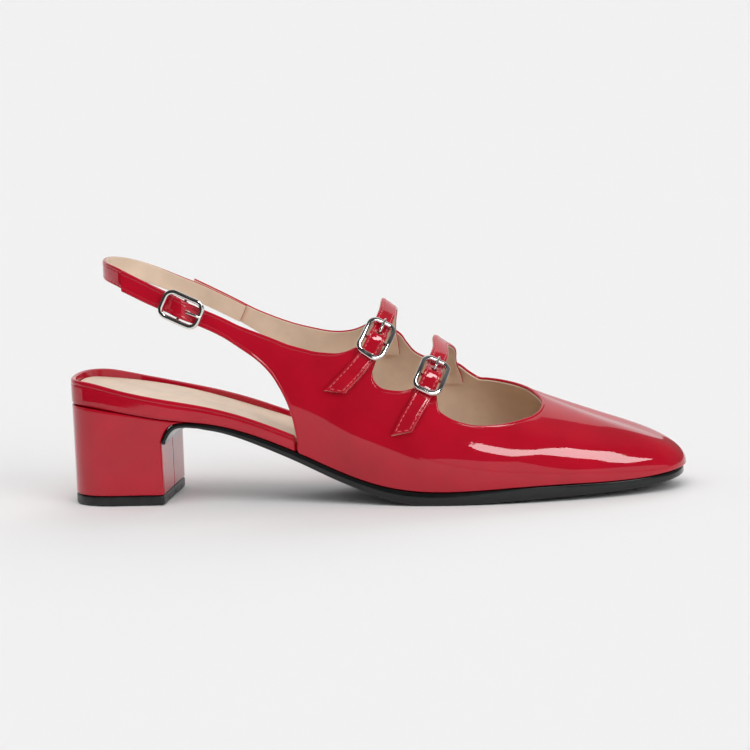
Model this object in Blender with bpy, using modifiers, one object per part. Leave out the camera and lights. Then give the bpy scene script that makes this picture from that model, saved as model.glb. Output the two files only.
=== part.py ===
"""Double-strap slingback pump with a block heel, right foot, built on its last.

Axes: +X from the heel to the toe, +Y to the inner (medial) side, +Z up. Tables and sizes below are
in millimetres and become metres when a mesh is made. Every piece of leather is worked out from one
surface, the last: its ribs run from the feather line, where upper and sole meet, up to the crest.
A rib's number is 0 at the toe tip, negative along the outer (lateral) side and positive along the
inner side, and a rise of 0 to 1 is the place on the rib between feather line and crest.
"""
from collections import namedtuple
from math import cos, pi, sin

import bmesh
import bpy
import numpy as np

MM = 0.001
NAME = "strap_pump"

GAP = 0.3                     # running clearance between neighbouring solids
UPPER_WALL = 1.7              # leather and lining of the vamp and quarters
STRAP_THICK = 1.4
STRAP_WIDTH = 7.2             # the two instep straps
SLING_WIDTH = 7.6
LENGTH = 250.0                # heel to toe, along the feather line
SOLE_EDGE = 0.8               # round on the outsole's lower edge
TOE_FROM = 235.0              # ahead of this the upper leans inwards over the sole
TOE_RELIEF = 0.35             # extra clearance under it there
TOE_TUCK_FROM = 212.0         # ahead of this the outsole's edge draws in under the toe
TOE_TUCK = 1.1                # by this much at the tip
SOCK_THICK = 1.0
SOCK_MARGIN = 2.8             # from the board's edge to the sock's
LIFT_HEIGHT = 4.1             # top piece under the heel
HEEL_HEIGHT = 40.0
HEEL_REAR = 0.4               # rearmost line of the heel
HEEL_ROUND = 22.0             # length of its rounded rear
HEEL_BREAST = 40.0            # its front face, from which a lip runs forward over the outsole
HEEL_HALF_TOP = 25.4
HEEL_HALF_TIP = 24.0
HEEL_SQUARENESS = 2.7         # exponent of the superellipse of its rear
TUCK_FROM = 95.3              # ahead of this the insole board lies inside the upper
TUCK_INSET = 2.6              # and this far inside the feather line

FRAME_LENGTH = 18.0           # buckle frame, outside, along the strap
FRAME_WIDTH = 12.6
WIRE = 1.0                    # half the frame's thickness
CORNER = 3.2                  # centreline radius of its corners
BAR = 0.65                    # half the bar's thickness
LIFT_OFF = 0.6                # height of the frame's underside over the strap
PRONG = 0.5
CHAPE_THICK = 0.5
CHAPE_WIDTH = 7.2
SLOT = 2.2                    # slot for the prong in chape and strap
BULGE = 2.7                   # rise of a strap over the bar
BULGE_REACH = 7.2             # half the length of that rise
PLAY = 0.25                   # clearance round a bar and under a prong's tip
BAR_DROP = 0.78               # clearance between a chape and the strap over it
LEG_GAP = 0.48                # clearance between a chape's leg and the leather it lies on
STRAP_HOLE = (1.2, 3.4)       # prong's hole in an instep strap, measured from the bar
SLING_HOLE = (1.0, 2.0)       # cells of the sling's extension that are open for its prong
TAIL_SLANT = 2.6              # the slanted end of an instep strap's tail
TAIL_LENGTH = 9.0             # fades out over this length
SLING_SINK = 2.1              # depth of the sling's outer face under the extension's

Station = namedtuple("Station", "outer_x outer_y inner_x inner_y crest_x wall lean roof")
STATIONS = [
    # feather line, outer and inner | crest | height, lean and roof length of the rib
    Station(250.0,   4.0, 250.0,  4.0, 176.0, 13.8, 0.05, 0.62),
    Station(245.5,  -9.8, 246.0, 17.2, 175.9, 16.5, 0.06, 0.60),
    Station(232.0, -20.0, 233.5, 26.6, 175.3, 17.3, 0.11, 0.57),
    Station(212.0, -28.8, 214.0, 33.8, 173.2, 17.7, 0.18, 0.54),
    Station(188.0, -35.6, 190.0, 38.4, 167.5, 19.6, 0.265, 0.52),
    Station(162.0, -38.2, 164.0, 37.0, 155.0, 26.3, 0.30, 0.52),
    Station(136.0, -35.8, 138.0, 29.6, 135.5, 34.0, 0.28, 0.52),
    Station(112.0, -30.8, 113.0, 22.0, 112.5, 40.1, 0.23, 0.50),
    Station(88.0,  -27.2,  88.0, 19.0,  88.0, 43.2, 0.18, 0.50),
    Station(62.0,  -25.8,  62.0, 21.2,  63.0, 47.9, 0.145, 0.50),
    Station(36.0,  -26.2,  36.0, 25.2,  38.0, 53.0, 0.10, 0.50),
    Station(13.0,  -22.2,  13.0, 22.2,  13.0, 51.7, 0.10, 0.50),
    Station(2.2,   -13.5,   2.2, 13.5,   2.0, 50.6, 0.10, 0.50),
    Station(0.0,     0.0,   0.0,  0.0,   0.0, 50.5, 0.10, 0.50),
]
HEEL_STATION = len(STATIONS) - 1

Ridge = namedtuple("Ridge", "x y z")
CREST_LINE = [Ridge(0, 1, 205), Ridge(38, 1, 158), Ridge(63, 1, 134), Ridge(88, 1, 112),
              Ridge(112.5, 2, 91), Ridge(128, 3.5, 78.6), Ridge(149.3, 6, 62.0), Ridge(165, 9, 50.7),
              Ridge(176, 11, 44.3), Ridge(190, 13, 38.8)]
Level = namedtuple("Level", "x z")
FEATHER_LINE = [Level(0, 41.0), Level(10, 40.3), Level(20, 38.8), Level(31, 37.0), Level(43, 35.0),
                Level(58, 33.2), Level(70, 30.7), Level(83, 26.4), Level(97, 20.7), Level(110, 14.9),
                Level(124, 9.7), Level(138, 6.5), Level(152, 5.3), Level(168, 5.5), Level(185, 6.2),
                Level(205, 6.5), Level(224, 6.3), Level(237, 6.8), Level(250, 8.3)]
TREAD = [Level(55, 31.2), Level(63, 29.8), Level(70, 27.8), Level(83, 22.8), Level(97, 16.8),
         Level(110, 10.8), Level(124, 5.3), Level(136, 1.5), Level(148, 0.0), Level(160, 0.0),
         Level(172, 0.4), Level(185, 0.9), Level(198, 1.35), Level(215, 1.8), Level(230, 2.3),
         Level(240, 3.1), Level(250, 4.5)]
RAND_HEIGHT = [Level(0, 10.1), Level(10, 10.1), Level(26, 8.9), Level(44, 8.2), Level(61, 6.9),
               Level(78, 6.4), Level(96, 6.6)]
Bend = namedtuple("Bend", "top_x top_z under_x under_z")
SOLE_BEND = [
    # the outsole's upper face and underside where it turns down the heel breast
    Bend(55.5, 33.15, 55.4, 31.2), Bend(50.5, 33.45, 50.5, 31.65), Bend(46.8, 33.2, 47.4, 31.5),
    Bend(43.9, 32.0, 45.2, 30.7), Bend(41.9, 29.8, 43.5, 29.0), Bend(40.8, 27.4, 42.3, 27.0),
    Bend(40.4, 26.5, 41.85, 26.2), Bend(40.3, 25.5, 41.8, 25.5),
]
FOOTBED = [Level(0, 48.6), Level(26, 44.8), Level(44, 41.6), Level(61, 37.6), Level(78, 32.4),
           Level(96, 26.0), Level(113, 18.6), Level(130, 12.0), Level(150, 8.9), Level(168, 8.5),
           Level(200, 9.3), Level(224, 9.3), Level(240, 10.2), Level(250, 11.5)]

# The pattern of the upper: each row is one strip from its lower edge to its topline.
Strip = namedtuple("Strip", "low_rib low_rise top_rib top_rise")
OUTER_PATTERN = [
    # sling extension, from its tail
    Strip(-10.36, 0.290, -10.36, 0.338), Strip(-10.20, 0.287, -10.20, 0.337),
    Strip(-9.95, 0.282, -9.95, 0.334), Strip(-9.69, 0.279, -9.69, 0.330),
    Strip(-9.60, 0.277, -9.60, 0.328), Strip(-9.51, 0.275, -9.51, 0.327),
    Strip(-9.42, 0.274, -9.42, 0.326), Strip(-9.375, 0.273, -9.375, 0.325),
    Strip(-9.28, 0.272, -9.28, 0.324), Strip(-9.22, 0.271, -9.22, 0.324),
    Strip(-9.15, 0.270, -9.15, 0.323), Strip(-8.95, 0.268, -8.95, 0.324),
    Strip(-8.75, 0.264, -8.75, 0.325),
    # rear edge of the quarter, down to the feather line
    Strip(-8.52, 0.255, -8.52, 0.326), Strip(-8.26, 0.244, -8.25, 0.335),
    Strip(-8.06, 0.224, -7.98, 0.346), Strip(-7.92, 0.195, -7.74, 0.356),
    Strip(-7.79, 0.155, -7.50, 0.374), Strip(-7.71, 0.110, -7.28, 0.393),
    Strip(-7.67, 0.065, -7.08, 0.418), Strip(-7.65, 0.030, -6.90, 0.444),
    Strip(-7.65, 0.000, -6.75, 0.476), Strip(-7.50, 0.000, -6.63, 0.511),
    # tab of the rear strap's buckle
    Strip(-7.34, 0.000, -6.52, 0.542), Strip(-7.18, 0.000, -6.45, 0.553),
    Strip(-7.02, 0.000, -6.39, 0.558), Strip(-6.84, 0.000, -6.24, 0.543),
    Strip(-6.72, 0.000, -6.23, 0.526), Strip(-6.60, 0.000, -6.28, 0.474),
    # scallop between the straps
    Strip(-6.46, 0.000, -6.26, 0.433), Strip(-6.30, 0.000, -6.14, 0.413),
    Strip(-6.12, 0.000, -5.99, 0.423), Strip(-5.95, 0.000, -5.79, 0.449),
    Strip(-5.82, 0.000, -5.645, 0.482),
    # tab of the front strap's buckle
    Strip(-5.74, 0.000, -5.55, 0.520), Strip(-5.65, 0.000, -5.48, 0.532),
    Strip(-5.48, 0.000, -5.28, 0.532), Strip(-5.40, 0.000, -5.25, 0.508),
    Strip(-5.32, 0.000, -5.24, 0.470),
    # throat
    Strip(-5.22, 0.000, -5.21, 0.425), Strip(-5.06, 0.000, -5.07, 0.403),
    Strip(-4.86, 0.000, -4.90, 0.395), Strip(-4.62, 0.000, -4.67, 0.397),
    Strip(-4.34, 0.000, -4.38, 0.423), Strip(-4.00, 0.000, -4.06, 0.467),
]
Rim = namedtuple("Rim", "low_rib x y")
THROAT = [
    # strips across the toe: where the throat's edge lies in plan
    Rim(-3.66, 187.6, -20.5), Rim(-3.25, 190.6, -16.8), Rim(-2.80, 192.4, -12.8), Rim(-2.30, 193.2, -8.8),
    Rim(-1.80, 193.3, -5.0), Rim(-1.35, 193.0, -1.6), Rim(-0.95, 192.3, 1.4), Rim(-0.60, 191.4, 3.9),
    Rim(-0.30, 190.4, 6.1), Rim(0.00, 189.3, 8.2), Rim(0.30, 188.0, 10.2), Rim(0.60, 186.6, 12.1),
    Rim(0.95, 184.9, 14.2), Rim(1.35, 182.9, 16.4), Rim(1.80, 180.4, 18.8), Rim(2.30, 177.5, 21.2),
    Rim(2.80, 174.3, 23.4), Rim(3.25, 171.0, 25.2), Rim(3.70, 167.6, 26.7), Rim(4.10, 164.6, 27.8),
]
INNER_PATTERN = [
    Strip(4.42, 0.000, 4.89, 0.590), Strip(4.72, 0.000, 5.00, 0.612), Strip(5.02, 0.000, 5.12, 0.642),
    Strip(5.38, 0.000, 5.42, 0.645), Strip(5.55, 0.000, 5.56, 0.595),
    Strip(5.72, 0.000, 5.72, 0.560), Strip(5.90, 0.000, 5.90, 0.560), Strip(6.06, 0.000, 6.02, 0.600),
    Strip(6.20, 0.000, 6.12, 0.642), Strip(6.42, 0.000, 6.44, 0.645), Strip(6.62, 0.000, 6.58, 0.600),
    Strip(6.85, 0.000, 6.74, 0.540), Strip(7.10, 0.000, 6.90, 0.490), Strip(7.38, 0.000, 7.08, 0.450),
    Strip(7.65, 0.000, 7.26, 0.420), Strip(7.66, 0.050, 7.42, 0.400), Strip(7.70, 0.105, 7.58, 0.384),
    Strip(7.79, 0.155, 7.76, 0.368), Strip(7.92, 0.195, 7.95, 0.354), Strip(8.06, 0.224, 8.14, 0.344),
    Strip(8.28, 0.244, 8.34, 0.336), Strip(8.55, 0.255, 8.58, 0.330), Strip(8.85, 0.264, 8.85, 0.330),
    Strip(9.20, 0.270, 9.20, 0.332), Strip(9.55, 0.276, 9.55, 0.336),
]
STRIP_CELLS = 8               # cells from lower edge to topline

# Middle lines of the straps. Across is the rise on the outer side and 2 minus the rise on the inner
# side; face is the height of the strap's outer face over the last.
Hold = namedtuple("Hold", "rib across face")
STRAP_SEAT = STRAP_THICK + 0.35
STRAP_ROUTES = {
    "rear": [
        Hold(6.92, 0.286, STRAP_SEAT), Hold(6.74, 0.350, STRAP_SEAT), Hold(6.54, 0.432, STRAP_SEAT),
        Hold(6.38, 0.518, STRAP_SEAT), Hold(6.28, 0.610, STRAP_SEAT), Hold(6.207, 0.740, 1.85),
        Hold(6.18, 0.870, 1.6), Hold(6.20, 1.0, 1.2), Hold(6.225, 1.12, 1.2), Hold(6.25, 1.22, 0.3),
        Hold(6.26, 1.28, -1.4), Hold(6.275, 1.33, -2.2), Hold(6.29, 1.44, -2.2), Hold(6.30, 1.52, -2.2)],
    "front": [
        Hold(5.795, 0.246, STRAP_SEAT), Hold(5.69, 0.315, STRAP_SEAT), Hold(5.56, 0.399, STRAP_SEAT),
        Hold(5.445, 0.488, STRAP_SEAT), Hold(5.365, 0.577, STRAP_SEAT), Hold(5.277, 0.714, STRAP_SEAT),
        Hold(5.21, 0.852, 1.45), Hold(5.20, 1.0, 1.05), Hold(5.20, 1.12, 1.05), Hold(5.21, 1.22, 0.2),
        Hold(5.23, 1.28, -1.4), Hold(5.245, 1.33, -2.2), Hold(5.265, 1.44, -2.2), Hold(5.28, 1.52, -2.2)],
}
BAR_HOLD = 4                  # the row of each route that lies on its bar
SLING_BAR_RIB = -9.42
SLING_PITCH = 26.4                          # length of one rib number along the sling
SLING_BAR_ROW = 3             # the row of the next table that lies on the bar
SLING_MIDDLE = [(-10.36, 0.314), (-10.0, 0.309), (-9.69, 0.3045), (-9.42, 0.300), (-9.15, 0.2968),
                (-8.85, 0.295), (-8.5, 0.291)]
Point = namedtuple("Point", "x y z")
SLING_BEND = [Point(29.5, -20.9, 90.4), Point(23.5, -17.6, 93.0), Point(18.4, -12.0, 94.4),
              Point(15.9, -5.6, 94.9), Point(15.3, 0.0, 95.0), Point(15.9, 5.4, 94.8),
              Point(18.4, 11.2, 94.1), Point(23.5, 16.4, 92.3), Point(29.5, 19.4, 89.8)]
SLING_CENTRE = 40.0           # middle of the bend behind the heel
SLING_OUTER_LAP = [(-9.57, 0.3028), (-9.7, 0.3048), (-9.86, 0.307), (-10.02, 0.309)]
SLING_INNER_LAP = [(9.72, 0.306), (9.50, 0.306), (9.25, 0.303), (9.0, 0.300), (8.75, 0.298)]

RED = (0.47, 0.012, 0.022, 1.0)
BLACK = (0.012, 0.012, 0.012, 1.0)
BEIGE = (0.62, 0.45, 0.33, 1.0)
SILVER = (0.78, 0.77, 0.75, 1.0)


# ---------------------------------------------------------------- curves through the tables
def spline(places, values):
    """Cubic spline with free ends through values at increasing places."""
    xs = np.asarray(places, float)
    ys = np.asarray(values, float)
    count = len(xs)
    step = np.diff(xs)
    matrix = np.eye(count)
    right = np.zeros_like(ys)
    for i in range(1, count - 1):
        matrix[i, i - 1:i + 2] = step[i - 1], 2 * (step[i - 1] + step[i]), step[i]
        right[i] = 6 * ((ys[i + 1] - ys[i]) / step[i] - (ys[i] - ys[i - 1]) / step[i - 1])
    bend = np.linalg.solve(matrix, right)

    def at(place):
        x = np.asarray(place, float)
        i = np.clip(np.searchsorted(xs, x) - 1, 0, count - 2)
        shape = x.shape + (1,) * (ys.ndim - 1)
        u = (x - xs[i]).reshape(shape)
        w = (xs[i + 1] - x).reshape(shape)
        h = step[i].reshape(shape)
        cubic = (bend[i] * w ** 3 + bend[i + 1] * u ** 3) / (6 * h)
        return cubic + (ys[i] / h - bend[i] * h / 6) * w + (ys[i + 1] / h - bend[i + 1] * h / 6) * u
    return at


def closed_spline(values):
    """Closed cubic spline through values at the whole numbers."""
    ys = np.asarray(values, float)
    count = len(ys)
    matrix = 4 * np.eye(count) + np.roll(np.eye(count), 1, 1) + np.roll(np.eye(count), -1, 1)
    bend = np.linalg.solve(matrix, 6 * (np.roll(ys, -1, 0) - 2 * ys + np.roll(ys, 1, 0)))

    def at(place):
        x = np.asarray(place, float)
        whole = np.floor(x)
        i = whole.astype(int) % count
        j = (i + 1) % count
        u = (x - whole)[..., None]
        w = 1 - u
        cubic = (bend[i] * w ** 3 + bend[j] * u ** 3) / 6
        return cubic + (ys[i] - bend[i] / 6) * w + (ys[j] - bend[j] / 6) * u
    return at


def even_spline(column):
    """Spline of one column of STATIONS, the same on both sides of the toe."""
    ribs = range(-HEEL_STATION, HEEL_STATION + 1)
    return spline(ribs, [getattr(STATIONS[abs(rib)], column) for rib in ribs])


def height_of(levels):
    return spline([level.x for level in levels], [level.z for level in levels])


feather_z = height_of(FEATHER_LINE)
crest = spline([ridge.x for ridge in CREST_LINE], [(ridge.y, ridge.z) for ridge in CREST_LINE])
tread_z = height_of(TREAD)
rand_height = height_of(RAND_HEIGHT)
footbed_z = height_of(FOOTBED)
feather = closed_spline([(row.inner_x, row.inner_y) for row in STATIONS]
                        + [(row.outer_x, row.outer_y) for row in STATIONS[-2:0:-1]])
crest_x = even_spline("crest_x")
rib_wall = even_spline("wall")
rib_lean = even_spline("lean")
rib_roof = even_spline("roof")


# ---------------------------------------------------------------- the last
def outward(rib):
    """Level unit vector that points out of the feather line."""
    along = feather(rib + 1e-3) - feather(rib - 1e-3)
    along = along / np.linalg.norm(along, axis=-1, keepdims=True)
    return np.stack([along[..., 1], -along[..., 0]], -1)


def plan(rib, inset):
    """Feather line moved inwards by inset."""
    rib = np.asarray(rib, float)
    return feather(rib) - outward(rib) * np.asarray(inset, float)[..., None]


def last(rib, rise):
    """Point of the last: a cubic rib from the feather line to the crest."""
    rib, rise = np.broadcast_arrays(np.asarray(rib, float), np.asarray(rise, float))
    edge = feather(rib)
    foot = np.stack([edge[..., 0], edge[..., 1], feather_z(edge[..., 0])], -1)
    top_x = crest_x(rib)
    ridge = crest(top_x)
    top = np.stack([top_x, ridge[..., 0], ridge[..., 1]], -1)
    away = top[..., :2] - edge
    reach = np.linalg.norm(away, axis=-1)
    away = away / reach[..., None]
    slope = (crest(top_x + 0.5) - crest(top_x - 0.5))[..., 1]
    out = outward(rib) * (rib_lean(rib) * rib_wall(rib))[..., None]
    wall = foot + np.stack([out[..., 0], out[..., 1], rib_wall(rib)], -1)
    roof = rib_roof(rib) * reach
    shoulder = top - np.stack([away[..., 0], away[..., 1], away[..., 0] * slope], -1) * roof[..., None]
    t = rise[..., None]
    u = 1 - t
    return u ** 3 * foot + 3 * u * u * t * wall + 3 * u * t * t * shoulder + t ** 3 * top


def rib_below(x, y, rib, rise):
    """Rib and rise of the point of the last at x and y in plan, by Newton's method from a guess."""
    place = np.array([rib, rise])
    step = 1e-4
    for _ in range(20):
        here = last(*place)[:2]
        slopes = [(last(*(place + move))[:2] - here) / step for move in step * np.eye(2)]
        place = place + np.linalg.solve(np.column_stack(slopes), np.array([x, y]) - here)
    return place


def unit(vectors):
    return vectors / np.linalg.norm(vectors, axis=-1, keepdims=True)


def last_normal(rib, rise):
    """Outward unit normal of the last."""
    rise = np.minimum(np.asarray(rise, float), 0.995)
    along = last(np.asarray(rib, float) + 0.01, rise) - last(np.asarray(rib, float) - 0.01, rise)
    up = last(rib, rise + 0.004) - last(rib, rise - 0.004)
    return unit(np.cross(along, up))


# ---------------------------------------------------------------- meshes
def material(name, colour, roughness, metallic=0.0, coat=0.0):
    made = bpy.data.materials.get(name) or bpy.data.materials.new(name)
    made.use_nodes = True
    shader = made.node_tree.nodes["Principled BSDF"]
    shader.inputs["Base Color"].default_value = colour
    shader.inputs["Roughness"].default_value = roughness
    shader.inputs["Metallic"].default_value = metallic
    shader.inputs["Coat Weight"].default_value = coat
    return made


def patent(name):
    return material(name, RED, 0.18, coat=1.0)


def add(name, points, faces, finish):
    """New object of the part from points in millimetres."""
    mesh = bpy.data.meshes.new(name)
    mesh.from_pydata([tuple(np.asarray(p, float) * MM) for p in points], [], faces)
    mesh.materials.append(finish)
    mesh.shade_smooth()
    mesh.set_sharp_from_angle(angle=0.7)
    made = bpy.data.objects.new(name, mesh)
    PIECES.objects.link(made)
    return made


def loft(name, sections, finish):
    """Closed solid through sections with the same number of corners, each capped at the ends."""
    count = len(sections[0])
    points = [p for section in sections for p in section]
    faces = []
    for i in range(len(sections) - 1):
        for j in range(count):
            k = (j + 1) % count
            faces.append((i * count + j, i * count + k, (i + 1) * count + k, (i + 1) * count + j))
    faces.append(tuple(reversed(range(count))))
    faces.append(tuple(range(len(points) - count, len(points))))
    made = add(name, points, faces, finish)
    tidy = bmesh.new()
    tidy.from_mesh(made.data)
    bmesh.ops.recalc_face_normals(tidy, faces=tidy.faces)
    tidy.to_mesh(made.data)
    tidy.free()
    return made


def sheet(name, grid, finish, thickness, missing=()):
    """Skin over a grid of points, given its thickness inwards. Missing lists cells left open."""
    rows = len(grid)
    columns = len(grid[0])
    points = [p for row in grid for p in row]
    faces = [(i * columns + j, (i + 1) * columns + j, (i + 1) * columns + j + 1, i * columns + j + 1)
             for i in range(rows - 1) for j in range(columns - 1) if (i, j) not in missing]
    made = add(name, points, faces, finish)
    wall = made.modifiers.new("wall", "SOLIDIFY")
    wall.thickness = thickness * MM
    wall.offset = -1.0
    wall.use_even_offset = True
    wall.use_quality_normals = True
    return made


def both_sides(rows_of):
    """Section across the shoe: the outer side's rows, then the inner side's in reverse."""
    return rows_of(-1) + rows_of(1)[::-1]


# ---------------------------------------------------------------- sole, heel and insole
SOLE_RIBS = [0.12, 0.3, 0.5, 0.75, 1.0, 1.3, 1.7, 2.1, 2.5, 3.0, 3.5, 4.0, 4.4, 4.8, 5.15, 5.5, 5.75,
             6.0, 6.25, 6.5, 6.75, 7.0, 7.25, 7.5, 7.75, 8.0, 8.25, 8.5, 8.75, 9.0, 9.12]
BOARD_RIBS = [0.35, 0.6, 0.9, 1.3, 1.8, 2.3, 2.9, 3.5, 4.1, 4.7, 5.15, 5.5, 5.75, 6.0, 6.25, 6.5, 6.75,
              7.0, 7.25, 7.5, 7.75, 8.0, 8.25, 8.5, 8.75, 9.0, 9.3, 9.6, 9.9, 10.3, 10.7, 11.0, 11.3,
              11.6, 11.85, 12.1, 12.35, 12.6, 12.8]
SOCK_RIBS = [0.45, 0.7, 1.0, 1.4, 1.9, 2.5, 3.1, 3.8, 4.5, 5.15, 5.5, 5.75, 6.0, 6.25, 6.5, 6.75,
             7.0, 7.25, 7.5, 8.1, 8.6, 9.2, 9.8, 10.4, 10.9, 11.3, 11.7, 12.0, 12.3, 12.5]
RAND_PROFILE = [(0.7, 0.0), (0.0, 0.10), (0.0, 0.60), (0.1, 0.86), (0.8, 1.0)]  # inset, share of height
HEEL_ROWS = [0.02, 0.25, 0.8, 1.8, 3.4, 5.8, 9.0, 13.0, 17.5, 22.0, 30.0]       # from the heel's rear


def rib_at(x):
    """Rib whose feather point on the outer side lies at x."""
    low, high = 0.0, float(HEEL_STATION)
    for _ in range(40):
        middle = (low + high) / 2
        if feather(-middle)[0] > x:
            low = middle
        else:
            high = middle
    return low


def tread(x):
    """Underside of the outsole."""
    return max(0.0, float(tread_z(x)))


def sole_top(x):
    """Upper face of the outsole."""
    relief = TOE_RELIEF * max(0.0, x - TOE_FROM) / (LENGTH - TOE_FROM)
    return float(feather_z(x)) - GAP - relief


def sole_tuck(x):
    """Inset of the outsole's edge under the toe."""
    return TOE_TUCK * max(0.0, (x - TOE_TUCK_FROM) / (LENGTH - TOE_TUCK_FROM)) ** 2


def sole_section(rib):
    """Outsole across one pair of ribs: top edge, side and tread on each side."""
    def rows(side):
        tuck = sole_tuck(float(plan(side * rib, 0.0)[0]))
        x, y = plan(side * rib, tuck)
        tread_x, tread_y = plan(side * rib, SOLE_EDGE + 2 * tuck)
        return [(x, y, sole_top(x)), (x, y, tread(x) + SOLE_EDGE + tuck / 2),
                (tread_x, tread_y, tread(tread_x))]
    return both_sides(rows)


def bend_section(bend):
    """Outsole across the curve that takes it down the heel breast."""
    def rows(side):
        width = min(half_at(bend.top_x, side), HEEL_HALF_TOP - GAP)
        inner = np.array([bend.top_x, side * width, bend.top_z])
        outer = np.array([bend.under_x, side * width, bend.under_z])
        low = outer + np.array([0.0, -side * SOLE_EDGE, 0.0])
        return [inner, outer + (inner - outer) / 3, low]
    return both_sides(rows)


def half_at(x, side):
    """Half width of the feather line on one side."""
    return abs(float(plan(side * rib_at(max(x, HEEL_BREAST)), 0.0)[1]))


def build_outsole():
    """Outsole with its rear end curved down the heel breast as a short flap."""
    sections = [sole_section(rib) for rib in SOLE_RIBS] + [bend_section(bend) for bend in SOLE_BEND]
    return loft("outsole", sections, material("sole_black", BLACK, 0.25))


def heel_half(x):
    """Share of the heel's half width at x, from its squarish rear to the breast."""
    away = max(0.0, min(1.0, (HEEL_REAR + HEEL_ROUND - x) / HEEL_ROUND))
    return (1.0 - away ** HEEL_SQUARENESS) ** (1.0 / HEEL_SQUARENESS)


def heel_half_at(z):
    """Half width of the heel at a height."""
    return HEEL_HALF_TIP + (HEEL_HALF_TOP - HEEL_HALF_TIP) * z / HEEL_HEIGHT


def heel_sections(low, high, half_low, half_high):
    """Sections of the heel from rear to breast; low and high give the height at x."""
    shares = [(HEEL_REAR + row, heel_half(HEEL_REAR + row)) for row in HEEL_ROWS]
    shares += [(HEEL_BREAST - 0.8, 1.0), (HEEL_BREAST, 0.985)]
    sections = []
    for x, share in shares:
        a = half_low * share
        b = half_high * share
        sections.append([(x, -a, low(x)), (x, a, low(x)), (x, b, high(x)), (x, -b, high(x))])
    return sections


def lip_sections():
    """Lip of the heel that fills the corner between the insole board and the outsole's bend."""
    curve = np.array([(bend.top_x, bend.top_z) for bend in SOLE_BEND[6:1:-1]])
    along = unit(np.gradient(curve, axis=0))
    sections = []
    for x, z in curve + np.column_stack([-along[:, 1], along[:, 0]]) * GAP:
        x = max(x, HEEL_BREAST + 0.05)
        top = float(feather_z(x)) - GAP
        low_half = heel_half_at(z)
        inner, outer = (min(half_at(x, side), HEEL_HALF_TOP) for side in (1, -1))
        sections.append([(x, -min(low_half, outer), z), (x, min(low_half, inner), z), (x, inner, top),
                         (x, -outer, top)])
    return sections


def build_heel():
    """Heel block with its lip and, under it, the top piece that it stands on."""
    block = heel_sections(lambda x: LIFT_HEIGHT, lambda x: float(feather_z(x)) - GAP,
                          heel_half_at(LIFT_HEIGHT), HEEL_HALF_TOP)
    tip = heel_sections(lambda x: 0.0, lambda x: LIFT_HEIGHT - GAP,
                        heel_half_at(0.0), heel_half_at(LIFT_HEIGHT))
    loft("heel_block", block + lip_sections(), patent("heel_patent"))
    loft("heel_tip", tip, material("tip_black", BLACK, 0.45))


def board_inset(x):
    """The board is flush with the heel and waist, and lies inside the upper ahead of them."""
    return TUCK_INSET if x > TUCK_FROM else 0.0


def board_section(rib):
    """Insole board across one pair of ribs: wrapped edge, rolled rim and a bed for the sock."""
    def rows(side):
        x = float(feather(side * rib)[0])
        base = board_inset(x)
        bed = float(footbed_z(x)) - SOCK_THICK - GAP
        low = float(feather_z(x)) + (GAP if base else 0.0)
        high = bed + 0.5 if base else low + float(rand_height(x))
        edge = [(inset, low + share * (high - low)) for inset, share in RAND_PROFILE]
        edge += [(1.7, high - 0.1), (2.3, min(bed, high - 0.3))]
        return [(*plan(side * rib, base + inset), z) for inset, z in edge]
    return both_sides(rows)


def sock_section(rib):
    """Sock across one pair of ribs."""
    def rows(side):
        x = float(feather(side * rib)[0])
        top = float(footbed_z(x))
        inset = board_inset(x) + SOCK_MARGIN
        edge = [(inset, top - SOCK_THICK), (inset, top - 0.35), (inset + 0.4, top)]
        return [(*plan(side * rib, more), z) for more, z in edge]
    return both_sides(rows)


def build_insole():
    """Insole board, wrapped at the heel and waist, and the sock on it."""
    tuck = rib_at(TUCK_FROM)
    step = [tuck - 0.02, tuck + 0.02]
    loft("insole_board", [board_section(rib) for rib in sorted(BOARD_RIBS + step)], patent("rand_patent"))
    loft("insole_sock", [sock_section(rib) for rib in sorted(SOCK_RIBS + step)],
         material("sock_leather", BEIGE, 0.5))


# ---------------------------------------------------------------- upper
def bulge(distance):
    """Rise of a strap over a bar at a distance from it."""
    return BULGE * (0.5 + 0.5 * cos(pi * min(abs(distance) / BULGE_REACH, 1.0)))


def throat_strips():
    """Strips across the toe, whose tops are the throat's edge."""
    guess = OUTER_PATTERN[-1].top_rib, OUTER_PATTERN[-1].top_rise
    strips = []
    for rim in THROAT:
        guess = rib_below(rim.x, rim.y, *guess)
        strips.append(Strip(rim.low_rib, 0.0, *guess))
    return strips


def build_upper():
    """Vamp, quarters and sling extension in one wall, open above, behind and underneath."""
    grid = []
    missing = []
    share = np.linspace(0.0, 1.0, STRIP_CELLS + 1)
    for index, strip in enumerate(OUTER_PATTERN + throat_strips() + INNER_PATTERN):
        ribs = strip.low_rib + (strip.top_rib - strip.low_rib) * share
        rises = strip.low_rise + (strip.top_rise - strip.low_rise) * share
        away = (strip.low_rib - SLING_BAR_RIB) * SLING_PITCH
        grid.append(last(ribs, rises) + last_normal(ribs, rises) * bulge(away))
        if SLING_HOLE[0] < away < SLING_HOLE[1]:
            missing += [(index, STRIP_CELLS // 2 - 1), (index, STRIP_CELLS // 2)]
    sheet("upper", grid, patent("upper_patent"), UPPER_WALL, missing)


# ---------------------------------------------------------------- straps
class Path:
    """Line near the last with its direction, outward normal and width direction."""

    def __init__(self, points, normals):
        points = np.asarray(points, float)
        steps = np.linalg.norm(np.diff(points, axis=0), axis=1)
        self.places = np.concatenate([[0.0], np.cumsum(steps)])
        self.line = spline(self.places, points)
        self.normal = spline(self.places, normals)

    def at(self, place, aside, height):
        """Point at a place along the path, aside along its width and at a height over it."""
        point = self.line(place)
        along = unit(self.line(place + 0.05) - self.line(place - 0.05))
        out = self.normal(place)
        out = unit(out - along * np.dot(out, along))
        return point + np.cross(along, out) * aside + out * height


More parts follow.
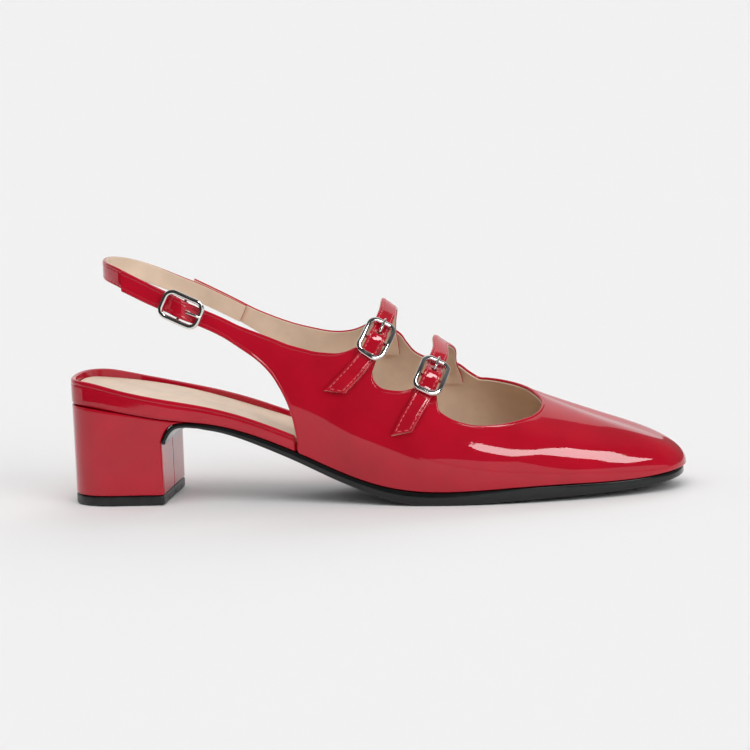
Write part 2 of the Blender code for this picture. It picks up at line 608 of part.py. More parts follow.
def route_point(hold):
    """Rib and rise of a hold, whichever side of the crest it is on."""
    if hold.across <= 1:
        return -hold.rib, hold.across
    return hold.rib, 2 - hold.across


def last_path(pairs):
    """Path through places of the last."""
    ribs, rises = zip(*pairs)
    return Path(last(ribs, rises), last_normal(ribs, rises))


def build_instep_strap(label):
    """Strap from its slanted tail through the buckle, over the instep and inside the inner quarter."""
    route = STRAP_ROUTES[label]
    path = last_path([route_point(hold) for hold in route])
    face = spline(path.places, [hold.face for hold in route])
    bar = path.places[BAR_HOLD]
    hole, hole_end = (bar + edge for edge in STRAP_HOLE)
    rise = [bar + BULGE_REACH * share for share in (-0.75, -0.5, -0.25, 0.0, 0.75, 1.0)]
    places = [*np.linspace(path.places[0], bar - BULGE_REACH, 9), *rise, hole, hole_end,
              *np.linspace(bar + BULGE_REACH + 2.3, path.places[-1], 20)]
    half = STRAP_WIDTH / 2
    grid = []
    missing = []
    for index, place in enumerate(sorted(places)):
        slant = TAIL_SLANT * max(0.0, 1 - (place - path.places[0]) / TAIL_LENGTH)
        height = float(face(place)) + bulge(place - bar)
        grid.append([path.at(place + slant * aside / half, aside, height)
                     for aside in (half, SLOT / 2, -SLOT / 2, -half)])
        if place == hole:
            missing.append((index, 1))
    sheet("instep_strap_" + label, grid, patent("strap_patent"), STRAP_THICK, missing)
    build_buckle(label, path, bar, STRAP_SEAT, STRAP_THICK, -UPPER_WALL)


def build_sling_strap():
    """Strap that starts inside the outer extension, goes round the heel and ends inside the inner one."""
    def under(pairs):
        return [last(*pair) - last_normal(*pair) * SLING_SINK for pair in pairs]
    bend = [np.array(point) for point in SLING_BEND]
    around = [unit(np.array([point.x - SLING_CENTRE, point.y, 0.0])) for point in SLING_BEND]
    path = Path(under(SLING_OUTER_LAP) + bend + under(SLING_INNER_LAP),
                [last_normal(*pair) for pair in SLING_OUTER_LAP] + around
                + [last_normal(*pair) for pair in SLING_INNER_LAP])
    grid = [[path.at(place, aside, 0.0) for aside in (SLING_WIDTH / 2, 0.0, -SLING_WIDTH / 2)]
            for place in np.linspace(path.places[0], path.places[-1], 44)]
    sheet("sling_strap", grid, patent("strap_patent"), STRAP_THICK)
    middle = last_path(SLING_MIDDLE)
    build_buckle("sling", middle, middle.places[SLING_BAR_ROW], 0.0, UPPER_WALL, -SLING_SINK - STRAP_THICK)


# ---------------------------------------------------------------- buckles
def rounded_frame():
    """Centreline of a buckle frame: along, aside."""
    half_length = FRAME_LENGTH / 2 - WIRE
    half_width = FRAME_WIDTH / 2 - WIRE
    loop = []
    for turn, (sx, sy) in enumerate(((1, 1), (-1, 1), (-1, -1), (1, -1))):
        for step in range(4):
            angle = pi / 2 * (turn + step / 3)
            loop.append((sx * (half_length - CORNER) + CORNER * cos(angle),
                         sy * (half_width - CORNER) + CORNER * sin(angle)))
    return loop


def wire(name, points, radius, cyclic=False):
    """Round steel wire through points, as a closed mesh."""
    curve = bpy.data.curves.new(name, "CURVE")
    curve.dimensions = "3D"
    curve.bevel_depth = radius * MM
    curve.bevel_resolution = 2
    curve.use_fill_caps = not cyclic
    line = curve.splines.new("POLY")
    line.points.add(len(points) - 1)
    for knot, point in zip(line.points, points):
        knot.co = (*(np.asarray(point, float) * MM), 1.0)
    line.use_cyclic_u = cyclic
    curve.materials.append(material("buckle_steel", SILVER, 0.15, metallic=1.0))
    drawn = bpy.data.objects.new("drawn", curve)
    PIECES.objects.link(drawn)
    bpy.context.view_layer.update()
    graph = bpy.context.evaluated_depsgraph_get()
    mesh = bpy.data.meshes.new_from_object(drawn.evaluated_get(graph))
    bpy.data.objects.remove(drawn)
    weld = bmesh.new()
    weld.from_mesh(mesh)
    bmesh.ops.remove_doubles(weld, verts=weld.verts, dist=1e-6)
    bmesh.ops.recalc_face_normals(weld, faces=weld.faces)
    weld.to_mesh(mesh)
    weld.free()
    made = bpy.data.objects.new(name, mesh)
    PIECES.objects.link(made)
    return made


def build_buckle(label, path, bar, seat, thick, carrier_face):
    """Frame with its bar, prong and chape, on the strap that passes over the bar.

    Seat is the height of the strap's outer face beside the frame, thick its thickness, and
    carrier_face the height of the inner face of the leather that the chape is fixed to.
    """
    ring = BAR + PLAY + CHAPE_THICK
    bar_height = seat - thick + BULGE - BAR_DROP - ring
    frame_height = seat + WIRE + LIFT_OFF

    def spot(along, aside, height):
        return path.at(bar + along, aside, height)

    frame = wire("buckle_frame_" + label, [spot(u, v, frame_height) for u, v in rounded_frame()], WIRE,
                 cyclic=True)
    side = FRAME_WIDTH / 2 - WIRE
    cross = [(-side, frame_height), (-side + 0.9, bar_height + 0.5), (-side + 1.5, bar_height),
             (side - 1.5, bar_height), (side - 0.9, bar_height + 0.5), (side, frame_height)]
    rod = wire("buckle_rod_" + label, [spot(0.0, v, h) for v, h in cross], BAR)
    CUTTERS.objects.link(rod)
    PIECES.objects.unlink(rod)
    rod.hide_render = True
    rod.display_type = "WIRE"
    join = frame.modifiers.new("bar", "BOOLEAN")
    join.operation = "UNION"
    join.object = rod

    hook = BAR + PLAY + PRONG
    tip = seat + 2 * WIRE + LIFT_OFF + PLAY + PRONG
    prong_line = [(hook * cos(a), bar_height + hook * sin(a)) for a in np.linspace(-0.8 * pi, 0.0, 6)]
    prong_line += [(hook + 0.45, bar_height + 1.2), (2.55, seat + 1.9), (3.2, tip - 0.35), (4.4, tip),
                   (FRAME_LENGTH / 2 - WIRE, tip), (FRAME_LENGTH / 2 + 0.1, tip - 0.25)]
    wire("prong_" + label, [spot(u, 0.0, h) for u, h in prong_line], PRONG)

    leg = carrier_face - LEG_GAP - CHAPE_THICK
    wrap = [(ring * cos(a), bar_height + ring * sin(a)) for a in np.linspace(0.95 * pi, -0.62 * pi, 11)]
    chape_line = wrap + [(-2.2, (bar_height - ring + leg) / 2), (-3.2, leg - 0.1), (-6.0, leg), (-9.5, leg)]
    half = CHAPE_WIDTH / 2
    grid = [[spot(u, aside, h) for aside in (half, SLOT / 2, -SLOT / 2, -half)] for u, h in chape_line]
    open_cells = [(i, 1) for i in range(1, len(wrap) + 1)]
    sheet("chape_" + label, grid, patent("chape_patent"), CHAPE_THICK, open_cells)


# ---------------------------------------------------------------- assembly
def bounds(objects):
    """Lowest and highest corners of the finished pieces, in metres."""
    bpy.context.view_layer.update()
    graph = bpy.context.evaluated_depsgraph_get()
    corners = np.array([tuple(corner) for made in objects for corner in made.evaluated_get(graph).bound_box])
    return corners.min(axis=0), corners.max(axis=0)


for old in list(bpy.data.objects):
    bpy.data.objects.remove(old)
PIECES = bpy.data.collections.new(NAME)
CUTTERS = bpy.data.collections.new("cutters")
bpy.context.scene.collection.children.link(PIECES)
bpy.context.scene.collection.children.link(CUTTERS)

build_outsole()
build_heel()
build_insole()
build_upper()
build_instep_strap("rear")
build_instep_strap("front")
build_sling_strap()

low, high = bounds(PIECES.objects)
stand = bpy.data.objects.new("stand", None)
bpy.context.scene.collection.objects.link(stand)
stand.location = (-(low[0] + high[0]) / 2, -(low[1] + high[1]) / 2, -low[2])
for made in list(PIECES.objects) + list(CUTTERS.objects):
    made.parent = stand
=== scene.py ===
"""Looks of a double-strap slingback pump: patent leather, lining, buckles, sole and a pale studio.

Everything is worked out on the shoe's last. Tables and functions are in millimetres, x from the back
of the heel to the toe, y to the inner side and z up; finished meshes are in metres, in the frame of
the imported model. A rib of the last has the number 0 at the toe tip, negative along the outer side
and positive along the inner side, and a rise of 0 to 1 is the place on the rib between the feather
line, where upper and sole meet, and the crest.
"""

from collections import namedtuple
from math import cos, pi, radians, sin

import bmesh
import bpy
import numpy as np
from bpy.props import FloatProperty, FloatVectorProperty, PointerProperty
from mathutils import Matrix, Vector


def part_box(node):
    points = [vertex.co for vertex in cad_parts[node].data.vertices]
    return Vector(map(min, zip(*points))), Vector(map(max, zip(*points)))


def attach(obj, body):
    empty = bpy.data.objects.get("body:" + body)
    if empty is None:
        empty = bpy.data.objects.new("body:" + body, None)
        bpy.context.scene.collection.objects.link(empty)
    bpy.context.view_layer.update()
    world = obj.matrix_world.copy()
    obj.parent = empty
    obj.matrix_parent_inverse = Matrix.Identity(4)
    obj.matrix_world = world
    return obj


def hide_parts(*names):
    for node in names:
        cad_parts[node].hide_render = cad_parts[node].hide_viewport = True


bl_info = {
    "name": "Slingback pump",
    "version": (1, 0, 0),
    "blender": (4, 5, 0),
    "location": "View3D > Sidebar > Pump",
    "description": "Patent upper, straps, buckles, sole and heel of a slingback pump on its last",
    "category": "Mesh",
}

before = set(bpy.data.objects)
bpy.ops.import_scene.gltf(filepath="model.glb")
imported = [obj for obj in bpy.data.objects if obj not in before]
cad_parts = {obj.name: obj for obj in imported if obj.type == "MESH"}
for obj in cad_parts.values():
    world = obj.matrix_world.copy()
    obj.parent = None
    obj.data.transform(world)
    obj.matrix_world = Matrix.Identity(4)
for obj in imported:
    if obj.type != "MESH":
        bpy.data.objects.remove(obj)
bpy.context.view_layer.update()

MM = 0.001
GAP = 0.3                     # running clearance between neighbouring solids
UPPER_WALL = 1.7              # leather and lining of the vamp and quarters
STRAP_THICK = 1.4
STRAP_WIDTH = 7.2             # the two instep straps
SLING_WIDTH = 7.6
LENGTH = 250.0                # heel to toe, along the feather line
SOLE_EDGE = 0.8               # round on the outsole's lower edge
TOE_FROM = 235.0              # ahead of this the upper leans inwards over the sole
TOE_RELIEF = 0.35             # extra clearance under it there
TOE_TUCK_FROM = 212.0         # ahead of this the outsole's edge draws in under the toe
TOE_TUCK = 1.1                # by this much at the tip
SOCK_THICK = 1.0
SOCK_MARGIN = 2.8             # from the board's edge to the sock's
LIFT_HEIGHT = 4.1             # top piece under the heel
HEEL_HEIGHT = 40.0
HEEL_REAR = 0.4               # rearmost line of the heel
HEEL_ROUND = 22.0             # length of its rounded rear
HEEL_BREAST = 40.0            # its front face, from which a lip runs forward over the outsole
HEEL_HALF_TOP = 25.4
HEEL_HALF_TIP = 24.0
HEEL_SQUARENESS = 2.7         # exponent of the superellipse of its rear
TUCK_FROM = 95.3              # ahead of this the insole board lies inside the upper
TUCK_INSET = 2.6              # and this far inside the feather line
TUCK_BLEND = 0.8              # length over which it steps in

FRAME_LENGTH = 18.0           # buckle frame, outside, along the strap
FRAME_WIDTH = 12.6
WIRE = 1.0                    # half the frame's thickness
CORNER = 3.2                  # centreline radius of its corners
BAR = 0.65                    # half the bar's thickness
LIFT_OFF = 0.6                # height of the frame's underside over the strap
PRONG = 0.5
CHAPE_THICK = 0.5
CHAPE_WIDTH = 7.2
BULGE = 2.7                   # rise of a strap over the bar
BULGE_REACH = 7.2             # half the length of that rise
PLAY = 0.25                   # clearance round a bar and under a prong's tip
BAR_DROP = 0.78               # clearance between a chape and the strap over it
LEG_GAP = 0.48                # clearance between a chape's leg and the leather it lies on
STRAP_HOLE = (1.2, 3.4)       # prong's hole in an instep strap, measured from the bar
TAIL_SLANT = 2.6              # the slanted end of an instep strap's tail
TAIL_LENGTH = 9.0             # fades out over this length
SLING_SINK = 2.1              # depth of the sling's outer face under the extension's

Station = namedtuple("Station", "outer_x outer_y inner_x inner_y crest_x wall lean roof")
STATIONS = [Station(*row) for row in (
    # feather line, outer and inner | crest | height, lean and roof length of the rib
    (250.0,   4.0, 250.0,  4.0, 176.0, 13.8, 0.05, 0.62),
    (245.5,  -9.8, 246.0, 17.2, 175.9, 16.5, 0.06, 0.60),
    (232.0, -20.0, 233.5, 26.6, 175.3, 17.3, 0.11, 0.57),
    (212.0, -28.8, 214.0, 33.8, 173.2, 17.7, 0.18, 0.54),
    (188.0, -35.6, 190.0, 38.4, 167.5, 19.6, 0.265, 0.52),
    (162.0, -38.2, 164.0, 37.0, 155.0, 26.3, 0.30, 0.52),
    (136.0, -35.8, 138.0, 29.6, 135.5, 34.0, 0.28, 0.52),
    (112.0, -30.8, 113.0, 22.0, 112.5, 40.1, 0.23, 0.50),
    (88.0,  -27.2,  88.0, 19.0,  88.0, 43.2, 0.18, 0.50),
    (62.0,  -25.8,  62.0, 21.2,  63.0, 47.9, 0.145, 0.50),
    (36.0,  -26.2,  36.0, 25.2,  38.0, 53.0, 0.10, 0.50),
    (13.0,  -22.2,  13.0, 22.2,  13.0, 51.7, 0.10, 0.50),
    (2.2,   -13.5,   2.2, 13.5,   2.0, 50.6, 0.10, 0.50),
    (0.0,     0.0,   0.0,  0.0,   0.0, 50.5, 0.10, 0.50),
)]
HEEL_STATION = len(STATIONS) - 1

Ridge = namedtuple("Ridge", "x y z")
CREST_LINE = [Ridge(0, 1, 205), Ridge(38, 1, 158), Ridge(63, 1, 134), Ridge(88, 1, 112),
              Ridge(112.5, 2, 91), Ridge(128, 3.5, 78.6), Ridge(149.3, 6, 62.0), Ridge(165, 9, 50.7),
              Ridge(176, 11, 44.3), Ridge(190, 13, 38.8)]
Level = namedtuple("Level", "x z")
FEATHER_LINE = [Level(0, 41.0), Level(10, 40.3), Level(20, 38.8), Level(31, 37.0), Level(43, 35.0),
                Level(58, 33.2), Level(70, 30.7), Level(83, 26.4), Level(97, 20.7), Level(110, 14.9),
                Level(124, 9.7), Level(138, 6.5), Level(152, 5.3), Level(168, 5.5), Level(185, 6.2),
                Level(205, 6.5), Level(224, 6.3), Level(237, 6.8), Level(250, 8.3)]
TREAD = [Level(55, 31.2), Level(63, 29.8), Level(70, 27.8), Level(83, 22.8), Level(97, 16.8),
         Level(110, 10.8), Level(124, 5.3), Level(136, 1.5), Level(148, 0.0), Level(160, 0.0),
         Level(172, 0.4), Level(185, 0.9), Level(198, 1.35), Level(215, 1.8), Level(230, 2.3),
         Level(240, 3.1), Level(250, 4.5)]
RAND_HEIGHT = [Level(0, 10.1), Level(10, 10.1), Level(26, 8.9), Level(44, 8.2), Level(61, 6.9),
               Level(78, 6.4), Level(96, 6.6)]
Bend = namedtuple("Bend", "top_x top_z under_x under_z")
SOLE_BEND = [
    # the outsole's upper face and underside where it turns down the heel breast
    Bend(55.5, 33.15, 55.4, 31.2), Bend(50.5, 33.45, 50.5, 31.65), Bend(46.8, 33.2, 47.4, 31.5),
    Bend(43.9, 32.0, 45.2, 30.7), Bend(41.9, 29.8, 43.5, 29.0), Bend(40.8, 27.4, 42.3, 27.0),
    Bend(40.4, 26.5, 41.85, 26.2), Bend(40.3, 25.5, 41.8, 25.5),
]
FOOTBED = [Level(0, 48.6), Level(26, 44.8), Level(44, 41.6), Level(61, 37.6), Level(78, 32.4),
           Level(96, 26.0), Level(113, 18.6), Level(130, 12.0), Level(150, 8.9), Level(168, 8.5),
           Level(200, 9.3), Level(224, 9.3), Level(240, 10.2), Level(250, 11.5)]

# The pattern of the upper: each row is one strip from its lower edge to its topline.
Strip = namedtuple("Strip", "low_rib low_rise top_rib top_rise")
OUTER_PATTERN = [Strip(*row) for row in (
    # sling extension, from its tail
    (-10.36, 0.290, -10.36, 0.338), (-10.20, 0.287, -10.20, 0.337),
    (-9.95, 0.282, -9.95, 0.334), (-9.69, 0.279, -9.69, 0.330),
    (-9.60, 0.277, -9.60, 0.328), (-9.51, 0.275, -9.51, 0.327),
    (-9.42, 0.274, -9.42, 0.326), (-9.375, 0.273, -9.375, 0.325),
    (-9.28, 0.272, -9.28, 0.324), (-9.22, 0.271, -9.22, 0.324),
    (-9.15, 0.270, -9.15, 0.323), (-8.95, 0.268, -8.95, 0.324),
    (-8.75, 0.264, -8.75, 0.325),
    # rear edge of the quarter, down to the feather line
    (-8.52, 0.255, -8.52, 0.326), (-8.26, 0.244, -8.25, 0.335),
    (-8.06, 0.224, -7.98, 0.346), (-7.92, 0.195, -7.74, 0.356),
    (-7.79, 0.155, -7.50, 0.374), (-7.71, 0.110, -7.28, 0.393),
    (-7.67, 0.065, -7.08, 0.418), (-7.65, 0.030, -6.90, 0.444),
    (-7.65, 0.000, -6.75, 0.476), (-7.50, 0.000, -6.63, 0.511),
    # tab of the rear strap's buckle
    (-7.34, 0.000, -6.52, 0.542), (-7.18, 0.000, -6.45, 0.553),
    (-7.02, 0.000, -6.39, 0.558), (-6.84, 0.000, -6.24, 0.543),
    (-6.72, 0.000, -6.23, 0.526), (-6.60, 0.000, -6.28, 0.474),
    # scallop between the straps
    (-6.46, 0.000, -6.26, 0.433), (-6.30, 0.000, -6.14, 0.413),
    (-6.12, 0.000, -5.99, 0.423), (-5.95, 0.000, -5.79, 0.449),
    (-5.82, 0.000, -5.645, 0.482),
    # tab of the front strap's buckle
    (-5.74, 0.000, -5.55, 0.520), (-5.65, 0.000, -5.48, 0.532),
    (-5.48, 0.000, -5.28, 0.532), (-5.40, 0.000, -5.25, 0.508),
    (-5.32, 0.000, -5.24, 0.470),
    # throat
    (-5.22, 0.000, -5.21, 0.425), (-5.06, 0.000, -5.07, 0.403),
    (-4.86, 0.000, -4.90, 0.395), (-4.62, 0.000, -4.67, 0.397),
    (-4.34, 0.000, -4.38, 0.423), (-4.00, 0.000, -4.06, 0.467),
)]
Rim = namedtuple("Rim", "low_rib x y")
THROAT = [Rim(*row) for row in (
    # strips across the toe: where the throat's edge lies in plan
    (-3.66, 187.6, -20.5), (-3.25, 190.6, -16.8), (-2.80, 192.4, -12.8), (-2.30, 193.2, -8.8),
    (-1.80, 193.3, -5.0), (-1.35, 193.0, -1.6), (-0.95, 192.3, 1.4), (-0.60, 191.4, 3.9),
    (-0.30, 190.4, 6.1), (0.00, 189.3, 8.2), (0.30, 188.0, 10.2), (0.60, 186.6, 12.1),
    (0.95, 184.9, 14.2), (1.35, 182.9, 16.4), (1.80, 180.4, 18.8), (2.30, 177.5, 21.2),
    (2.80, 174.3, 23.4), (3.25, 171.0, 25.2), (3.70, 167.6, 26.7), (4.10, 164.6, 27.8),
)]
INNER_PATTERN = [Strip(*row) for row in (
    (4.42, 0.000, 4.89, 0.590), (4.72, 0.000, 5.00, 0.612), (5.02, 0.000, 5.12, 0.642),
    (5.38, 0.000, 5.42, 0.645), (5.55, 0.000, 5.56, 0.595),
    (5.72, 0.000, 5.72, 0.560), (5.90, 0.000, 5.90, 0.560), (6.06, 0.000, 6.02, 0.600),
    (6.20, 0.000, 6.12, 0.642), (6.42, 0.000, 6.44, 0.645), (6.62, 0.000, 6.58, 0.600),
    (6.85, 0.000, 6.74, 0.540), (7.10, 0.000, 6.90, 0.490), (7.38, 0.000, 7.08, 0.450),
    (7.65, 0.000, 7.26, 0.420), (7.66, 0.050, 7.42, 0.400), (7.70, 0.105, 7.58, 0.384),
    (7.79, 0.155, 7.76, 0.368), (7.92, 0.195, 7.95, 0.354), (8.06, 0.224, 8.14, 0.344),
    (8.28, 0.244, 8.34, 0.336), (8.55, 0.255, 8.58, 0.330), (8.85, 0.264, 8.85, 0.330),
    (9.20, 0.270, 9.20, 0.332), (9.55, 0.276, 9.55, 0.336),
)]

# Middle lines of the straps. Across is the rise on the outer side and 2 minus the rise on the inner
# side; face is the height of the strap's outer face over the last.
Hold = namedtuple("Hold", "rib across face")
STRAP_SEAT = STRAP_THICK + 0.35
STRAP_ROUTES = {
    "rear": [
        Hold(6.92, 0.286, STRAP_SEAT), Hold(6.74, 0.350, STRAP_SEAT), Hold(6.54, 0.432, STRAP_SEAT),
        Hold(6.38, 0.518, STRAP_SEAT), Hold(6.28, 0.610, STRAP_SEAT), Hold(6.207, 0.740, 1.85),
        Hold(6.18, 0.870, 1.6), Hold(6.20, 1.0, 1.2), Hold(6.225, 1.12, 1.2), Hold(6.25, 1.22, 0.3),
        Hold(6.26, 1.28, -1.4), Hold(6.275, 1.33, -2.2), Hold(6.29, 1.44, -2.2), Hold(6.30, 1.52, -2.2)],
    "front": [
        Hold(5.795, 0.246, STRAP_SEAT), Hold(5.69, 0.315, STRAP_SEAT), Hold(5.56, 0.399, STRAP_SEAT),
        Hold(5.445, 0.488, STRAP_SEAT), Hold(5.365, 0.577, STRAP_SEAT), Hold(5.277, 0.714, STRAP_SEAT),
        Hold(5.21, 0.852, 1.45), Hold(5.20, 1.0, 1.05), Hold(5.20, 1.12, 1.05), Hold(5.21, 1.22, 0.2),
        Hold(5.23, 1.28, -1.4), Hold(5.245, 1.33, -2.2), Hold(5.265, 1.44, -2.2), Hold(5.28, 1.52, -2.2)],
}
BAR_HOLD = 4                  # the row of each route that lies on its bar
SLING_BAR_RIB = -9.42
SLING_PITCH = 26.4            # length of one rib number along the sling
SLING_BAR_ROW = 3             # the row of the next table that lies on the bar
SLING_MIDDLE = [(-10.36, 0.314), (-10.0, 0.309), (-9.69, 0.3045), (-9.42, 0.300), (-9.15, 0.2968),
                (-8.85, 0.295), (-8.5, 0.291)]
Point = namedtuple("Point", "x y z")
SLING_BEND = [Point(29.5, -20.9, 90.4), Point(23.5, -17.6, 93.0), Point(18.4, -12.0, 94.4),
              Point(15.9, -5.6, 94.9), Point(15.3, 0.0, 95.0), Point(15.9, 5.4, 94.8),
              Point(18.4, 11.2, 94.1), Point(23.5, 16.4, 92.3), Point(29.5, 19.4, 89.8)]
SLING_CENTRE = 40.0           # middle of the bend behind the heel
SLING_OUTER_LAP = [(-9.57, 0.3028), (-9.7, 0.3048), (-9.86, 0.307), (-10.02, 0.309)]
SLING_INNER_LAP = [(9.72, 0.306), (9.50, 0.306), (9.25, 0.303), (9.0, 0.300), (8.75, 0.298)]


# ---------------------------------------------------------------- curves through the tables
def spline(places, values):
    """Cubic spline with free ends through values at increasing places."""
    xs = np.asarray(places, float)
    ys = np.asarray(values, float)
    count = len(xs)
    step = np.diff(xs)
    matrix = np.eye(count)
    right = np.zeros_like(ys)
    for i in range(1, count - 1):
        matrix[i, i - 1:i + 2] = step[i - 1], 2 * (step[i - 1] + step[i]), step[i]
        right[i] = 6 * ((ys[i + 1] - ys[i]) / step[i] - (ys[i] - ys[i - 1]) / step[i - 1])
    bend = np.linalg.solve(matrix, right)

    def at(place):
        x = np.asarray(place, float)
        i = np.clip(np.searchsorted(xs, x) - 1, 0, count - 2)
        shape = x.shape + (1,) * (ys.ndim - 1)
        u = (x - xs[i]).reshape(shape)
        w = (xs[i + 1] - x).reshape(shape)
        h = step[i].reshape(shape)
        cubic = (bend[i] * w ** 3 + bend[i + 1] * u ** 3) / (6 * h)
        return cubic + (ys[i] / h - bend[i] * h / 6) * w + (ys[i + 1] / h - bend[i + 1] * h / 6) * u
    return at


def closed_spline(values):
    """Closed cubic spline through values at the whole numbers."""
    ys = np.asarray(values, float)
    count = len(ys)
    matrix = 4 * np.eye(count) + np.roll(np.eye(count), 1, 1) + np.roll(np.eye(count), -1, 1)
    bend = np.linalg.solve(matrix, 6 * (np.roll(ys, -1, 0) - 2 * ys + np.roll(ys, 1, 0)))

    def at(place):
        x = np.asarray(place, float)
        whole = np.floor(x)
        i = whole.astype(int) % count
        j = (i + 1) % count
        u = (x - whole)[..., None]
        w = 1 - u
        cubic = (bend[i] * w ** 3 + bend[j] * u ** 3) / 6
        return cubic + (ys[i] - bend[i] / 6) * w + (ys[j] - bend[j] / 6) * u
    return at


def even_spline(column):
    """Spline of one column of STATIONS, the same on both sides of the toe."""
    ribs = range(-HEEL_STATION, HEEL_STATION + 1)
    return spline(ribs, [getattr(STATIONS[abs(rib)], column) for rib in ribs])


def height_of(levels):
    return spline([level.x for level in levels], [level.z for level in levels])


feather_z = height_of(FEATHER_LINE)
crest = spline([ridge.x for ridge in CREST_LINE], [(ridge.y, ridge.z) for ridge in CREST_LINE])
tread_z = height_of(TREAD)
rand_height = height_of(RAND_HEIGHT)
footbed_z = height_of(FOOTBED)
feather = closed_spline([(row.inner_x, row.inner_y) for row in STATIONS]
                        + [(row.outer_x, row.outer_y) for row in STATIONS[-2:0:-1]])
crest_x = even_spline("crest_x")
rib_wall = even_spline("wall")
rib_lean = even_spline("lean")
rib_roof = even_spline("roof")


def unit(vectors):
    """The vectors, each one long."""
    return vectors / np.linalg.norm(vectors, axis=-1, keepdims=True)


def run_along(points):
    """Distance of each point from the first, along the line through them."""
    return np.concatenate([[0.0], np.cumsum(np.linalg.norm(np.diff(points, axis=0), axis=1))])


# ---------------------------------------------------------------- the last
def outward(rib):
    """Level unit vector that points out of the feather line."""
    along = unit(feather(rib + 1e-3) - feather(rib - 1e-3))
    return np.stack([along[..., 1], -along[..., 0]], -1)


def plan(rib, inset):
    """Feather line moved inwards by inset."""
    rib = np.asarray(rib, float)
    return feather(rib) - outward(rib) * np.asarray(inset, float)[..., None]


def last(rib, rise):
    """Point of the last: a cubic rib from the feather line to the crest."""
    rib, rise = np.broadcast_arrays(np.asarray(rib, float), np.asarray(rise, float))
    edge = feather(rib)
    foot = np.stack([edge[..., 0], edge[..., 1], feather_z(edge[..., 0])], -1)
    top_x = crest_x(rib)
    ridge = crest(top_x)
    top = np.stack([top_x, ridge[..., 0], ridge[..., 1]], -1)
    away = top[..., :2] - edge
    reach = np.linalg.norm(away, axis=-1)
    away = away / reach[..., None]
    slope = (crest(top_x + 0.5) - crest(top_x - 0.5))[..., 1]
    out = outward(rib) * (rib_lean(rib) * rib_wall(rib))[..., None]
    wall = foot + np.stack([out[..., 0], out[..., 1], rib_wall(rib)], -1)
    roof = rib_roof(rib) * reach
    shoulder = top - np.stack([away[..., 0], away[..., 1], away[..., 0] * slope], -1) * roof[..., None]
    t = rise[..., None]
    u = 1 - t
    return u ** 3 * foot + 3 * u * u * t * wall + 3 * u * t * t * shoulder + t ** 3 * top


def rib_below(x, y, rib, rise):
    """Rib and rise of the point of the last at x and y in plan, by Newton's method from a guess."""
    place = np.array([rib, rise])
    step = 1e-4
    for _ in range(20):
        here = last(*place)[:2]
        slopes = [(last(*(place + move))[:2] - here) / step for move in step * np.eye(2)]
        place = place + np.linalg.solve(np.column_stack(slopes), np.array([x, y]) - here)
    return place


def last_normal(rib, rise):
    """Outward unit normal of the last."""
    rise = np.minimum(np.asarray(rise, float), 0.995)
    along = last(np.asarray(rib, float) + 0.01, rise) - last(np.asarray(rib, float) - 0.01, rise)
    up = last(rib, rise + 0.004) - last(rib, rise - 0.004)
    return unit(np.cross(along, up))


# ---------------------------------------------------------------- sole lines
def rib_at(x):
    """Rib whose feather point on the outer side lies at x."""
    low, high = 0.0, float(HEEL_STATION)
    for _ in range(40):
        middle = (low + high) / 2
        if feather(-middle)[0] > x:
            low = middle
        else:
            high = middle
    return low


def ease(share):
    """Smooth step from 0 to 1."""
    share = np.clip(share, 0.0, 1.0)
    return share * share * (3 - 2 * share)


def tread(x):
    """Underside of the outsole."""
    return np.maximum(0.0, tread_z(x))


def sole_top(x):
    """Upper face of the outsole."""
    return feather_z(x) - GAP - TOE_RELIEF * np.maximum(0.0, x - TOE_FROM) / (LENGTH - TOE_FROM)


def sole_tuck(x):
    """Inset of the outsole's edge under the toe."""
    return TOE_TUCK * np.maximum(0.0, (x - TOE_TUCK_FROM) / (LENGTH - TOE_TUCK_FROM)) ** 2


def tucked(x):
    """Goes from 0 where the board is flush with heel and waist to 1 where it lies inside the upper."""
    return ease((x - TUCK_FROM + TUCK_BLEND / 2) / TUCK_BLEND)


def board_inset(x):
    """Inset of the board's edge from the feather line."""
    return TUCK_INSET * tucked(x)


# ---------------------------------------------------------------- meshes
TIP_LOW, TIP_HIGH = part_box("heel_tip")
HOME = Vector((TIP_HIGH.x / MM - HEEL_BREAST, (TIP_LOW.y + TIP_HIGH.y) / 2 / MM, 0.0))
SHARP_ANGLE = 0.9             # edges that turn more than this stay sharp


def laid(grid, closed=False, looped=False, windows=()):
    """Solid whose skin is a grid laid over points.

    Closed joins the last column to the first, and looped the last row to the first; ends that stay
    open are filled. A window is a range of rows with two ranges of columns, one on either face of
    the skin, and is cut through from one to the other.
    """
    grid = np.asarray(grid, float)
    if closed:
        grid = np.concatenate([grid, grid[:, :1]], axis=1)
    if looped:
        grid = np.concatenate([grid, grid[:1]], axis=0)
    rows, columns = grid.shape[:2]
    bm = bmesh.new()
    bmesh.ops.create_grid(bm, x_segments=columns - 1, y_segments=rows - 1, size=1.0)
    for vert, point in zip(bm.verts, grid.reshape(-1, 3)):
        vert.co = (HOME + Vector(point)) * MM
    bm.faces.ensure_lookup_table()
    cut = [bm.faces[i * (columns - 1) + j] for row_range, *faces in windows
           for i in row_range for face in faces for j in face]
    bmesh.ops.remove_doubles(bm, verts=bm.verts, dist=1e-7)
    ends = [edge for edge in bm.edges if edge.is_boundary]
    bmesh.ops.holes_fill(bm, edges=ends, sides=0)
    if cut:
        bmesh.ops.delete(bm, geom=cut, context="FACES")
        bmesh.ops.bridge_loops(bm, edges=[edge for edge in bm.edges if edge.is_boundary])
    bmesh.ops.recalc_face_normals(bm, faces=bm.faces)
    return bm


def placed(name, data):
    """Object in the scene that holds this data."""
    made = bpy.data.objects.new(name, data)
    bpy.context.scene.collection.objects.link(made)
    return made


